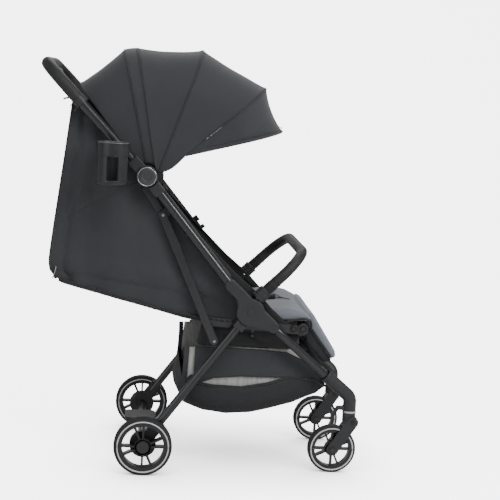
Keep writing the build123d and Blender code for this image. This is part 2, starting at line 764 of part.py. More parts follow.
# --- Canopy cloth: one panel from bow to bow, and one from the rear bow to the handle ---
def cloth_arch(angle, half, reach):
    """The cloth's section in one radial plane: an arch just outside a bow."""
    side = half + bow_thick / 2 + cloth_gap + cloth_thick / 2
    top = reach + bow_thick / 2 + cloth_gap + cloth_thick / 2
    with BuildSketch(radial_plane(angle)) as arch:
        with BuildLine():
            FilletPolyline((-side, canopy_start), (-side, top), (side, top), (side, canopy_start),
                           radius=bow_corner)
        trace(line_width=cloth_thick)
    return arch.sketch


def make_panel(from_arch, to_arch, name):
    """Write one canopy panel, stretched straight between two arches."""
    with BuildPart() as panel:
        loft(sections=[cloth_arch(*from_arch), cloth_arch(*to_arch)], ruled=True)
    save(panel.part, name)


bows = list(zip(bow_angles, bow_half_widths, bow_reaches))
for number, name in enumerate(("middle", "front", "visor")):
    (back_angle, back_half, back_reach), (front_angle, front_half, front_reach) = bows[number:number + 2]
    make_panel((back_angle - canopy_seam, back_half, back_reach),
               (front_angle + canopy_seam, front_half, front_reach), f"canopy_panel_{name}")
make_panel((canopy_back_angle, bow_half_widths[0], canopy_back_reach),
           (bow_angles[0] + canopy_seam, bow_half_widths[0], bow_reaches[0]), "canopy_panel_rear")

# --- Seat frame: two side rails, the recline rod, the leg-rest rod and a boss on each junction ---
rail_length = span(recline_pivot, legrest_pivot)
rail_angle = angle_of(recline_pivot, legrest_pivot)
rail_boss = ahead(lower_joint, joint_angle, -10)
with BuildPart() as seat_frame:
    with BuildSketch(Plane.XZ.offset(rail_inner_y)):
        with Locations(ahead(recline_pivot, rail_angle, rail_length / 2)):
            SlotCenterToCenter(rail_length, rail_height, rotation=rail_angle)
    extrude(amount=rail_thick)
    with BuildSketch(Plane.XZ.offset(rail_inner_y)):
        with Locations(rail_boss):
            Circle(9)
        with Locations(((rail_boss[0] - 4, rail_boss[1] - 8))):
            Rectangle(16, 22)
    extrude(amount=rail_thick)
    with BuildSketch(Plane.XZ.offset(rail_inner_y)):
        with Locations(rail_boss):
            Circle(9)
    extrude(amount=junction_inner_y - run_gap - rail_inner_y)
    mirror(about=Plane.XZ)
    with BuildSketch(Plane.XZ):
        with Locations(recline_pivot):
            Circle(seat_rod_radius)
    extrude(amount=stay_inner_y - run_gap, both=True)
    with BuildSketch(Plane.XZ):
        with Locations(legrest_pivot):
            Circle(seat_rod_radius)
    extrude(amount=rail_inner_y, both=True)
save(seat_frame.part, "seat_frame")

# --- Soft seat: base, cushion, backrest with its hinge sleeve, shoulder straps ---
with BuildPart() as seat_base:
    with BuildSketch(Plane.XZ):
        Polygon((seat_base_back, seat_base_bottom), (seat_base_front, seat_base_bottom + 8),
                (seat_base_front, cushion_bottom - 34), (seat_base_front - 14, cushion_bottom - 0.5),
                (seat_base_back, cushion_bottom - 0.5), align=None)
    extrude(amount=seat_half_width, both=True)
save(seat_base.part, "seat_base")

with BuildPart() as seat_cushion:
    with BuildSketch(Plane.XZ):
        Polygon((cushion_back, cushion_bottom), (cushion_front, cushion_bottom),
                (cushion_front, cushion_top), (cushion_back, cushion_top - cushion_fall), align=None)
    extrude(amount=seat_half_width, both=True)
    fillet(seat_cushion.edges().group_by(Axis.X)[-1].filter_by(Axis.Y).sort_by(Axis.Z)[-1], 24)
    fillet(seat_cushion.edges().filter_by(Axis.Y).group_by(Axis.X)[0].sort_by(Axis.Z)[-1], 10)
save(seat_cushion.part, "seat_cushion")

backrest_sleeve = 12
with BuildPart() as backrest:
    with BuildSketch(Plane.XZ):
        with Locations(ahead(recline_pivot, backrest_angle, backrest_length / 2)):
            Rectangle(backrest_length, backrest_thick, rotation=backrest_angle)
        with Locations(recline_pivot):
            Circle(backrest_sleeve)
    extrude(amount=backrest_half_width, both=True)
    fillet(backrest.edges().filter_by(Axis.Y).group_by(Axis.X)[0], 8)
    with BuildSketch(Plane.XZ):
        with Locations(recline_pivot):
            Circle(seat_rod_radius + run_gap)
    extrude(amount=backrest_half_width, both=True, mode=Mode.SUBTRACT)
save(backrest.part, "backrest")

strap_y = 60
strap_mid = ahead(ahead(recline_pivot, backrest_angle, backrest_length / 2),
                  backrest_angle - 90, backrest_thick / 2 + strap_thick / 2 + 0.2)
with BuildPart() as shoulder_straps:
    with BuildSketch(Plane.XZ.offset(strap_y - strap_width / 2)):
        with Locations(strap_mid):
            Rectangle(backrest_length * 0.6, strap_thick, rotation=backrest_angle)
    extrude(amount=strap_width)
    mirror(about=Plane.XZ)
save(shoulder_straps.part, "shoulder_straps")

buckle_x = cushion_front - buckle_setback
cushion_slope = cushion_fall / (cushion_front - cushion_back)
buckle_bottom = cushion_top - cushion_slope * (buckle_setback - buckle_size[0] / 2) + run_gap
with BuildPart() as harness_buckle:
    with BuildSketch(Plane.XY.offset(buckle_bottom)):
        with Locations((buckle_x, 0)):
            RectangleRounded(buckle_size[0], buckle_size[1], 10)
    extrude(amount=buckle_size[2])
    fillet(harness_buckle.edges().group_by(Axis.Z)[-1], 3)
save(harness_buckle.part, "harness_buckle")

# --- Leg rest: a hinge sleeve with two round bosses, and the pad ---
sleeve_radius = 10
with BuildPart() as legrest_frame:
    with BuildSketch(Plane.XZ):
        with Locations(legrest_pivot):
            Circle(sleeve_radius)
    extrude(amount=rail_inner_y - run_gap, both=True)
    with BuildSketch(Plane.XZ.offset(legrest_half_width + 2)):
        with Locations(legrest_pivot):
            Circle(legrest_boss_radius)
    extrude(amount=rail_inner_y - run_gap - legrest_half_width - 2)
    mirror(about=Plane.XZ)
    with BuildSketch(Plane.XZ):
        with Locations(legrest_pivot):
            Circle(seat_rod_radius + run_gap)
    extrude(amount=rail_inner_y, both=True, mode=Mode.SUBTRACT)
save(legrest_frame.part, "legrest_frame")

legrest_from = sleeve_radius + run_gap
with BuildPart() as legrest_pad:
    with BuildSketch(Plane.XZ):
        with Locations(ahead(legrest_pivot, -legrest_angle, legrest_from + (legrest_length - legrest_from) / 2)):
            Rectangle(legrest_length - legrest_from, legrest_thick, rotation=-legrest_angle)
    extrude(amount=legrest_half_width, both=True)
    fillet(legrest_pad.edges().filter_by(Axis.Y).group_by(Axis.X)[-1], 10)
save(legrest_pad.part, "legrest_pad")

# --- Side and back cloth, which closes the seat in between the tubes and the backrest ---
curtain_mid = (curtain_top[0] - 10, curtain_top[1] - 110)
side_outline = (curtain_top, ahead(hub, tube_angle, 20), ahead(upper_joint, joint_angle, -5),
                ahead(leg_pivot, 50, 9), (recline_pivot[0] - 10, recline_pivot[1] - 13),
                side_cloth_bottom, curtain_low, curtain_mid)
with BuildPart() as seat_sides:
    with BuildSketch(Plane.XZ.offset(side_cloth_y)):
        Polygon(*side_outline, align=None)
        with Locations(hub):
            Circle(hub_radius + 4, mode=Mode.SUBTRACT)
        with Locations(recline_pivot):
            Circle(seat_rod_radius + 1, mode=Mode.SUBTRACT)
    extrude(amount=cloth_thick)
    mirror(about=Plane.XZ)
save(seat_sides.part, "seat_sides")

with BuildPart() as back_curtain:
    with BuildSketch(Plane.XZ):
        with BuildLine():
            Polyline(curtain_top, curtain_mid, curtain_low, side_cloth_bottom)
        trace(line_width=cloth_thick)
    extrude(amount=side_cloth_y - 0.5, both=True)
save(back_curtain.part, "back_curtain")

# --- Basket: an open tub of mesh, and two side sheets that hang it from the seat base ---
with BuildPart() as basket_tub:
    with BuildSketch(Plane.XZ):
        Polygon(*basket_outline, align=None)
    extrude(amount=basket_half_width, both=True)
    offset(amount=-basket_wall, openings=basket_tub.faces().sort_by(Axis.Z)[-1])
save(basket_tub.part, "basket_tub")

with BuildPart() as basket_sides:
    with BuildSketch(Plane.XZ.offset(basket_half_width + 0.3)):
        Polygon((84, basket_rim - 10), (422, basket_rim - 10), (440, 212), (364, seat_base_bottom + 7),
                (seat_base_back, seat_base_bottom - 0.5), (96, seat_base_bottom - 4), align=None)
        with Locations(cross_place):
            Circle(rear_cross_radius + 4, mode=Mode.SUBTRACT)
    extrude(amount=cloth_thick)
    mirror(about=Plane.XZ)
save(basket_sides.part, "basket_sides")

# --- Stay bars: from a plate on each side tube down to the recline rod's ends ---
stay_angle = angle_of(stay_top, stay_foot)
stay_length = span(stay_top, stay_foot)
tube_foot_share = cos(radians(tube_angle)) * (stay_top[0] - hub[0]) + sin(radians(tube_angle)) * (
    stay_top[1] - hub[1])
tube_beside = ahead(hub, tube_angle, tube_foot_share)
plate_length = span(stay_top, tube_beside)
with BuildPart() as stay_bars:
    with BuildSketch(Plane.XZ.offset(stay_inner_y)):
        with Locations(ahead(stay_top, stay_angle, stay_length / 2)):
            SlotCenterToCenter(stay_length, stay_width, rotation=stay_angle)
    extrude(amount=stay_thick)
    fillet(stay_bars.edges().filter_by(Plane.XZ).group_by(Axis.Y)[0], 2)
    with BuildSketch(Plane.XZ.offset(stay_inner_y - 2.8)):
        with Locations(ahead(stay_top, angle_of(stay_top, tube_beside), plate_length / 2)):
            SlotCenterToCenter(plate_length, stay_width, rotation=angle_of(stay_top, tube_beside))
    extrude(amount=2.5)
    with BuildSketch(Plane.XZ.offset(stay_inner_y - 2.8)):
        with Locations(stay_top):
            Circle(stay_width / 2 - 2)
    extrude(amount=4)
    mirror(about=Plane.XZ)
save(stay_bars.part, "stay_bars")

# --- Bumper bar and its sockets ---
with BuildPart() as bumper_sockets:
    bumper_axis = Plane(origin=at(bumper_foot, -frame_y),
                        z_dir=(cos(radians(bumper_lean)), 0, sin(radians(bumper_lean))))
    with BuildSketch(bumper_axis):
        Circle(bumper_socket_radius)
    extrude(amount=bumper_socket_length)
    fillet(bumper_sockets.edges().filter_by(GeomType.CIRCLE).sort_by(Axis.Z)[-1], 2)
    with BuildSketch(bumper_axis.offset(bumper_socket_length - bumper_peg_length - 1)):
        Circle(bumper_peg_radius + run_gap)
    extrude(amount=bumper_peg_length + 1, mode=Mode.SUBTRACT)
    mirror(about=Plane.XZ)
save(bumper_sockets.part, "bumper_sockets")

bumper_along = Vector(cos(radians(bumper_lean)), 0, sin(radians(bumper_lean)))
bumper_plane = Plane(origin=at(bumper_foot, 0), x_dir=(0, 1, 0),
                     z_dir=Vector(0, 1, 0).cross(bumper_along))
bumper_start = bumper_socket_length + run_gap
with BuildPart() as bumper_bar:
    with BuildLine():
        bumper_path = FilletPolyline(*[bumper_plane.from_local_coords(Vector(y, out)) for y, out in (
            (-frame_y, bumper_start), (-frame_y, bumper_reach),
            (frame_y, bumper_reach), (frame_y, bumper_start))], radius=bumper_corner)
    with BuildSketch(Plane(origin=bumper_path @ 0, z_dir=bumper_path % 0)):
        Circle(bumper_radius)
    sweep(path=bumper_path)
    with BuildSketch(Plane(origin=bumper_path @ 0, z_dir=bumper_path % 0),
                     Plane(origin=bumper_path @ 1, z_dir=-(bumper_path % 1))):
        Circle(bumper_peg_radius)
    extrude(amount=-bumper_peg_length)
save(bumper_bar.part, "bumper_bar")

# --- Rivets and pins of the frame ---
with BuildPart() as frame_rivets:
    with BuildSketch(Plane.XZ.offset(junction_outer_y)):
        with Locations(upper_joint, lower_joint):
            Circle(rivet_radius)
    extrude(amount=rivet_head)
    with BuildSketch(Plane.XZ.offset(junction_inner_y)):
        with Locations(leg_pivot):
            Circle(pivot_pin_radius)
    extrude(amount=junction_outer_y - junction_inner_y + rivet_head)
    with BuildSketch(Plane.XZ.offset(stay_inner_y + stay_thick)):
        with Locations(stay_top, ahead(stay_top, stay_angle, span(stay_top, recline_pivot))):
            Circle(rivet_radius + 1)
    extrude(amount=rivet_head)
    mirror(about=Plane.XZ)
save(frame_rivets.part, "frame_rivets")

# --- Storage catch: a hooked block on the left side tube that holds the folded handle ---
catch_foot = ahead(catch_place, tube_angle + 90, tube_radius + run_gap)
with BuildPart() as storage_catch:
    with BuildSketch(Plane.XZ.offset(-frame_y)):
        with Locations(ahead(catch_foot, tube_angle + 90, 7)):
            Rectangle(40, 14, rotation=tube_angle)
        with Locations(ahead(ahead(catch_foot, tube_angle, 3), tube_angle + 90, 11)):
            Rectangle(16, 9, rotation=tube_angle, mode=Mode.SUBTRACT)
    extrude(amount=9, both=True)
save(storage_catch.part, "storage_catch")
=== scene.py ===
# %% [markdown]
# # A folding baby stroller
# The imported CAD model is loaded first and stays fixed: tubes, hubs, mouldings, wheels and every moving body.
# On top of it this lesson makes what a drawing for manufacture leaves plain: the stretched canopy cloth, the
# hanging side cloth, the padded seat, the mesh basket, webbing, piping, stitches, tread and the finishes.
# Most pieces ride on the body that carries them, so that they fold, recline and roll with it; the canopy
# gores, the side cloth and rear curtain with their zip tapes and hems, and the leg rest cover stay where they
# are drawn.

# %% Load the frame
import json
from math import atan2, cos, degrees, exp, pi, radians, sin

import bmesh
import bpy
from mathutils import Matrix, Vector, noise


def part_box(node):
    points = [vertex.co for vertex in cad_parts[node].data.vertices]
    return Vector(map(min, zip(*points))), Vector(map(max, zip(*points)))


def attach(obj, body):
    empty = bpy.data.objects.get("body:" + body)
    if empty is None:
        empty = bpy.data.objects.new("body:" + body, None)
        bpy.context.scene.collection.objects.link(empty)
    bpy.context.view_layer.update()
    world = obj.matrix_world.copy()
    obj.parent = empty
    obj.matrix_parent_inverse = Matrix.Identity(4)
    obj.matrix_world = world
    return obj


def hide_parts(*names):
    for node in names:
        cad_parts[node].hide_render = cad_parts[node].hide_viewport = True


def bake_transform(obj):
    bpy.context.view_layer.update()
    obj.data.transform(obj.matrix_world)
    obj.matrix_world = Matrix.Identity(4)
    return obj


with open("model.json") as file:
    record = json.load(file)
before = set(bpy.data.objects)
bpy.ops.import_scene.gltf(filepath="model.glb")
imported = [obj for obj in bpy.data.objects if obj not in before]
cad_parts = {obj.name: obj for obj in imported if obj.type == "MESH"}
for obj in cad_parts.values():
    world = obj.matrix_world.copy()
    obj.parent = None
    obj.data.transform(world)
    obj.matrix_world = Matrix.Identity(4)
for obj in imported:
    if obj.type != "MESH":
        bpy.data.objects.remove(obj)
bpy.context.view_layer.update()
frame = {"nodes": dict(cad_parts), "record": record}
record_joints = {joint["name"]: joint for joint in frame["record"]["behaviour"]["joints"]}

# %% [markdown]
# ## Camera, floor and light
# The stroller is seen from its right side, from a little above its middle and nearly square on, with a long
# lens. The camera also leans a little, so it is built from its own right, up and look directions instead of a
# target. The room is a plain pale sweep, a floor that bends up behind the stroller. A large soft key lamp, a
# fill, a rim lamp behind and a smaller strip lamp light it. The strip lamp is low at the front, where the
# slanted tubes mirror it as one bright line.

# %% Camera
LENS_MM = 96.55
CAMERA_PLACE = Vector((-0.0652, -3.4766, 0.9895))
CAMERA_AZIMUTH = radians(5.342)
CAMERA_DROP = radians(7.262)
CAMERA_LEAN = radians(3.397)

level_look = Vector((sin(CAMERA_AZIMUTH), cos(CAMERA_AZIMUTH), 0))
look = level_look * cos(CAMERA_DROP) - Vector((0, 0, sin(CAMERA_DROP)))
level_right = look.cross(Vector((0, 0, 1))).normalized()
level_up = level_right.cross(look)
right = cos(CAMERA_LEAN) * level_right + sin(CAMERA_LEAN) * level_up
up = -sin(CAMERA_LEAN) * level_right + cos(CAMERA_LEAN) * level_up
camera = bpy.data.objects.new("camera", bpy.data.cameras.new("camera"))
camera.data.lens = LENS_MM
camera.data.clip_end = 50
camera.matrix_world = Matrix.Translation(CAMERA_PLACE) @ Matrix((right, up, -look)).transposed().to_4x4()
bpy.context.collection.objects.link(camera)
bpy.context.scene.camera = camera

# %% Helpers for meshes
def new_object(name, points, faces):
    """A smooth-shaded mesh object from points and faces."""
    mesh = bpy.data.meshes.new(name)
    mesh.from_pydata([tuple(p) for p in points], [], faces)
    mesh.validate()
    mesh.shade_smooth()
    piece = bpy.data.objects.new(name, mesh)
    bpy.context.collection.objects.link(piece)
    return piece


def apply_modifiers(piece):
    """Turn what the modifiers show into the piece's plain mesh."""
    bpy.context.view_layer.update()
    seen = piece.evaluated_get(bpy.context.evaluated_depsgraph_get())
    mesh = bpy.data.meshes.new_from_object(seen)
    mesh.name = piece.name
    if piece.type == "MESH":
        piece.modifiers.clear()
        piece.data = mesh
        return piece
    plain = bpy.data.objects.new(piece.name + "_mesh", mesh)
    bpy.context.collection.objects.link(plain)
    bpy.data.objects.remove(piece)
    return plain


def modifier(piece, kind, **values):
    """Add a modifier and set its values."""
    added = piece.modifiers.new(kind.lower(), kind)
    for key, value in values.items():
        setattr(added, key, value)
    return added


def outward(piece):
    """Point every face of a closed mesh outwards."""
    work = bmesh.new()
    work.from_mesh(piece.data)
    bmesh.ops.recalc_face_normals(work, faces=work.faces)
    work.to_mesh(piece.data)
    work.free()
    return piece


def grid_sheet(name, place, across, along):
    """A sheet from a rule: place(u, v) gives its point for u and v from 0 to 1."""
    points = [place(i / across, j / along) for j in range(along + 1) for i in range(across + 1)]
    row = across + 1
    faces = [(j * row + i, j * row + i + 1, (j + 1) * row + i + 1, (j + 1) * row + i)
             for j in range(along) for i in range(across)]
    return new_object(name, points, faces)


def mix(a, b, share):
    """The value or point that lies a share of the way from a to b."""
    return a + (b - a) * share


def ease(share):
    """A smooth 0 to 1 ramp."""
    share = min(max(share, 0), 1)
    return share * share * (3 - 2 * share)


def along_line(points, share):
    """The point at a share of a polyline's length."""
    points = [Vector(p) for p in points]
    lengths = [(b - a).length for a, b in zip(points, points[1:])]
    left = share * sum(lengths)
    for a, b, length in zip(points, points[1:], lengths):
        if left <= length:
            return a.lerp(b, left / length)
        left -= length
    return points[-1].copy()


# %% [markdown]
# ## Finishes
# Three shader groups do most of the work. `woven_cloth` crosses fine sine waves into a plain weave and fades
# it with a soft noise. `moulded_grain` breaks up the colour and gloss of plastic and paint. `leather_grain`
# is a cell pattern for the grip. Groups only give colours, roughness and heights. The Principled shader, with
# its plain values for sheen, coat and metal, stays in each material, where it can be read and exported.

# %% Shader helpers
def add_node(tree, kind, inputs=None, **settings):
    """A node with its settings and the values, or links, of its inputs."""
    made = tree.nodes.new(kind)
    for key, value in settings.items():
        setattr(made, key, value)
    for key, value in (inputs or {}).items():
        socket = made.inputs[key]
        if isinstance(value, bpy.types.NodeSocket):
            tree.links.new(value, socket)
        else:
            socket.default_value = value
    return made


def new_group(name, inputs, outputs):
    """An empty shader group with named inputs (kind, default) and outputs (kind)."""
    tree = bpy.data.node_groups.new(name, "ShaderNodeTree")
    for label, (kind, default) in inputs.items():
        tree.interface.new_socket(label, in_out="INPUT", socket_type=kind).default_value = default
    for label, kind in outputs.items():
        tree.interface.new_socket(label, in_out="OUTPUT", socket_type=kind)
    return tree, tree.nodes.new("NodeGroupInput"), tree.nodes.new("NodeGroupOutput")


FLOAT, COLOUR = "NodeSocketFloat", "NodeSocketColor"
SURFACE = {"Color": COLOUR, "Roughness": FLOAT, "Height": FLOAT}


def wave(tree, coordinate, wave_number):
    """A sine along one coordinate."""
    scaled = add_node(tree, "ShaderNodeMath", {0: coordinate, 1: wave_number}, operation="MULTIPLY")
    return add_node(tree, "ShaderNodeMath", {0: scaled.outputs[0]}, operation="SINE").outputs[0]


def product(tree, a, b):
    """Two sockets or numbers multiplied."""
    return add_node(tree, "ShaderNodeMath", {0: a, 1: b}, operation="MULTIPLY").outputs[0]


def total(tree, *values):
    """The sum of several sockets or numbers."""
    result = values[0]
    for value in values[1:]:
        result = add_node(tree, "ShaderNodeMath", {0: result, 1: value}, operation="ADD").outputs[0]
    return result


def noise_value(tree, scale, detail=3.0, rough=0.5):
    """A noise in the piece's own space."""
    place = add_node(tree, "ShaderNodeTexCoord")
    made = add_node(tree, "ShaderNodeTexNoise", {"Scale": scale, "Detail": detail, "Roughness": rough})
    tree.links.new(place.outputs["Object"], made.inputs["Vector"])
    return made.outputs[0]


def colour_mix(tree, share, a, b):
    """A share of the way from colour a to colour b."""
    made = add_node(tree, "ShaderNodeMix", data_type="RGBA")
    for socket, value in ((made.inputs[0], share), (made.inputs[6], a), (made.inputs[7], b)):
        if isinstance(value, bpy.types.NodeSocket):
            tree.links.new(value, socket)
        else:
            socket.default_value = value
    return made.outputs[2]


def spread(tree, value, low, high):
    """A 0 to 1 value spread between two numbers."""
    return add_node(tree, "ShaderNodeMapRange", {"Value": value, "To Min": low, "To Max": high}).outputs[0]


# %% The woven cloth group
cloth_tree, cloth_in, cloth_out = new_group(
    "woven_cloth", {"Dark": (COLOUR, (0.03, 0.03, 0.035, 1)), "Light": (COLOUR, (0.06, 0.06, 0.07, 1)),
                    "Threads": (FLOAT, 4000.0), "Fade": (FLOAT, 0.5)}, SURFACE)
cloth_place = add_node(cloth_tree, "ShaderNodeTexCoord")
cloth_axes = add_node(cloth_tree, "ShaderNodeSeparateXYZ", {0: cloth_place.outputs["Object"]})
waves = [wave(cloth_tree, cloth_axes.outputs[i], cloth_in.outputs["Threads"]) for i in range(3)]
weave = total(cloth_tree, product(cloth_tree, waves[0], waves[1]), product(cloth_tree, waves[0], waves[2]),
              product(cloth_tree, waves[1], waves[2]))
weave_height = spread(cloth_tree, weave, 0.5, 0.9)
slow_fade = noise_value(cloth_tree, 7.0, 4.0)
fuzz = noise_value(cloth_tree, 900.0, 2.0)
cloth_share = total(cloth_tree, product(cloth_tree, slow_fade, cloth_in.outputs["Fade"]),
                    product(cloth_tree, fuzz, 0.55), product(cloth_tree, weave_height, 0.25), -0.25)
cloth_tree.links.new(colour_mix(cloth_tree, cloth_share, cloth_in.outputs["Dark"], cloth_in.outputs["Light"]),
                     cloth_out.inputs["Color"])
cloth_tree.links.new(spread(cloth_tree, fuzz, 0.78, 0.95), cloth_out.inputs["Roughness"])
cloth_height = total(cloth_tree, weave_height, product(cloth_tree, fuzz, 0.6))
cloth_tree.links.new(cloth_height, cloth_out.inputs["Height"])

# %% The moulded grain group
grain_tree, grain_in, grain_out = new_group(
    "moulded_grain", {"Base": (COLOUR, (0.05, 0.05, 0.055, 1)), "Worn": (COLOUR, (0.1, 0.1, 0.1, 1)),
                      "Grain": (FLOAT, 1500.0), "Gloss": (FLOAT, 0.4)}, SURFACE)
grain_fine = noise_value(grain_tree, grain_in.outputs["Grain"], 2.0)
grain_wide = noise_value(grain_tree, 14.0, 5.0, 0.6)
grain_share = total(grain_tree, product(grain_tree, grain_wide, 0.5), product(grain_tree, grain_fine, 0.3),
                    -0.2)
grain_tree.links.new(colour_mix(grain_tree, grain_share, grain_in.outputs["Base"], grain_in.outputs["Worn"]),
                     grain_out.inputs["Color"])
grain_rough = total(grain_tree, grain_in.outputs["Gloss"], product(grain_tree, grain_wide, 0.18), -0.09)
grain_tree.links.new(grain_rough, grain_out.inputs["Roughness"])
grain_tree.links.new(grain_fine, grain_out.inputs["Height"])

# %% The leather grain group
leather_tree, leather_in, leather_out = new_group(
    "leather_grain", {"Base": (COLOUR, (0.03, 0.028, 0.027, 1)), "Crease": (COLOUR, (0.01, 0.01, 0.01, 1)),
                      "Cells": (FLOAT, 900.0)}, SURFACE)
leather_place = add_node(leather_tree, "ShaderNodeTexCoord")
cells = add_node(leather_tree, "ShaderNodeTexVoronoi", {"Scale": leather_in.outputs["Cells"]},
                 feature="DISTANCE_TO_EDGE")
leather_tree.links.new(leather_place.outputs["Object"], cells.inputs["Vector"])
cell_height = add_node(leather_tree, "ShaderNodeMapRange",
                       {"Value": cells.outputs["Distance"], "From Max": 0.18}).outputs[0]
leather_tree.links.new(colour_mix(leather_tree, cell_height, leather_in.outputs["Crease"],
                                  leather_in.outputs["Base"]), leather_out.inputs["Color"])
leather_tree.links.new(spread(leather_tree, noise_value(leather_tree, 30.0), 0.42, 0.62),
                       leather_out.inputs["Roughness"])
leather_tree.links.new(cell_height, leather_out.inputs["Height"])


# %% Materials
def finish(name, group, values, bump=0.2, bump_depth=0.0004, **shader):
    """A material: a group for colour, roughness and bump, and plain values on the Principled shader."""
    material = bpy.data.materials.new(name)
    material.use_nodes = True
    tree = material.node_tree
    principled = next(n for n in tree.nodes if n.type == "BSDF_PRINCIPLED")
    surface = add_node(tree, "ShaderNodeGroup", node_tree=group)
    for key, value in values.items():
        surface.inputs[key].default_value = value
    relief = add_node(tree, "ShaderNodeBump", {"Strength": bump, "Distance": bump_depth,
                                               "Height": surface.outputs["Height"]})
    tree.links.new(surface.outputs["Color"], principled.inputs["Base Color"])
    tree.links.new(surface.outputs["Roughness"], principled.inputs["Roughness"])
    tree.links.new(relief.outputs["Normal"], principled.inputs["Normal"])
    for key, value in shader.items():
        principled.inputs[key.replace("_", " ")].default_value = value
    return material


def grey(value, blue=0.0):
    """A near-neutral colour, a little blue if asked."""
    return (value, value * (1 + 0.35 * blue), value * (1 + blue), 1)


charcoal_cloth = finish("charcoal_cloth", cloth_tree, {"Dark": grey(0.022, 0.15), "Light": grey(0.052, 0.18),
                        "Threads": 5200.0, "Fade": 0.45}, bump=0.35, Sheen_Weight=0.25, Sheen_Roughness=0.5)
lining_cloth = finish("lining_cloth", cloth_tree, {"Dark": grey(0.014, 0.1), "Light": grey(0.03, 0.12),
                      "Threads": 5200.0, "Fade": 0.4}, bump=0.3, Sheen_Weight=0.15)
slate_cloth = finish("slate_cloth", cloth_tree, {"Dark": grey(0.150, 0.22), "Light": grey(0.27, 0.22),
                     "Threads": 3600.0, "Fade": 0.5}, bump=0.4, Sheen_Weight=0.4, Sheen_Roughness=0.45)
webbing = finish("webbing", cloth_tree, {"Dark": grey(0.008), "Light": grey(0.03, 0.1), "Threads": 2600.0,
                 "Fade": 0.2}, bump=0.8, Sheen_Weight=0.2)
thread = finish("thread", cloth_tree, {"Dark": grey(0.012), "Light": grey(0.04), "Threads": 9000.0,
                "Fade": 0.2}, bump=0.3, Sheen_Weight=0.3)
black_paint = finish("black_paint", grain_tree, {"Base": grey(0.012, 0.08), "Worn": grey(0.024, 0.1),
                     "Grain": 2600.0, "Gloss": 0.30}, bump=0.04, Coat_Weight=0.5, Coat_Roughness=0.16)
charcoal_plastic = finish("charcoal_plastic", grain_tree, {"Base": grey(0.024, 0.08), "Grain": 1900.0,
                          "Worn": grey(0.046, 0.08), "Gloss": 0.46}, bump=0.18)
dark_plastic = finish("dark_plastic", grain_tree, {"Base": grey(0.012), "Worn": grey(0.024), "Grain": 1500.0,
                      "Gloss": 0.4}, bump=0.15)
cup_plastic = finish("cup_plastic", grain_tree, {"Base": grey(0.02, 0.1), "Worn": grey(0.04, 0.1),
                     "Grain": 2200.0, "Gloss": 0.34}, bump=0.08)
hub_plate = finish("hub_plate", grain_tree, {"Base": grey(0.075, 0.03), "Worn": grey(0.12, 0.03),
                   "Grain": 1200.0, "Gloss": 0.38}, bump=0.08, Metallic=0.6)
bright_metal = finish("bright_metal", grain_tree, {"Base": grey(0.62), "Worn": grey(0.8), "Grain": 900.0,
                      "Gloss": 0.24}, bump=0.03, Metallic=1.0)
zinc_steel = finish("zinc_steel", grain_tree, {"Base": grey(0.35), "Worn": grey(0.5), "Grain": 1400.0,
                    "Gloss": 0.38}, bump=0.05, Metallic=1.0)
zinc_dark = finish("dark_zinc", grain_tree, {"Base": grey(0.06), "Worn": grey(0.14), "Grain": 1400.0,
                   "Gloss": 0.34}, bump=0.05, Metallic=0.8)
silver_line = finish("silver_line", grain_tree, {"Base": grey(0.70, 0.04), "Worn": grey(0.84, 0.04),
                     "Grain": 900.0, "Gloss": 0.50}, bump=0.03)
# Lighter and bluer than the tube paint: a real rib whose colour is also a painted highlight line along the
# side tubes.
tube_edge = finish("tube_edge", grain_tree, {"Base": grey(0.045, 0.1), "Worn": grey(0.07, 0.1),
                   "Grain": 300.0, "Gloss": 0.50}, bump=0.0)
# A light grey for the cup's rim ring: a painted highlight along the lip of the dark cup.
cup_rim_gloss = finish("cup_rim_gloss", grain_tree, {"Base": grey(0.16, 0.08), "Worn": grey(0.22, 0.08),
                       "Grain": 1800.0, "Gloss": 0.22}, bump=0.04)
stitch_thread = finish("stitch_thread", cloth_tree, {"Dark": grey(0.045, 0.1), "Light": grey(0.09, 0.1),
                       "Threads": 9000.0, "Fade": 0.2}, bump=0.2)
foam_tyre = finish("foam_tyre", grain_tree, {"Base": grey(0.016), "Worn": grey(0.04), "Grain": 1100.0,
                   "Gloss": 0.78}, bump=0.35)
gloss_rim = finish("gloss_rim", grain_tree, {"Base": grey(0.014, 0.05), "Worn": grey(0.03), "Grain": 1700.0,
                   "Gloss": 0.32}, bump=0.05, Coat_Weight=0.2)
leatherette = finish("leatherette", leather_tree, {"Base": grey(0.024), "Crease": grey(0.007),
                     "Cells": 1100.0}, bump=0.35)


def paint(piece, material):
    """Put one material on every slot of a piece or CAD node."""
    piece.data.materials.clear()
    piece.data.materials.append(material)
    for face in piece.data.polygons:
        face.material_index = 0
    return piece


def paint_node(name, material):
    """Put a material in each material slot of a CAD node."""
    node = frame["nodes"][name]
    for index in range(max(len(node.material_slots), 1)):
        if node.material_slots:
            node.material_slots[index].material = material


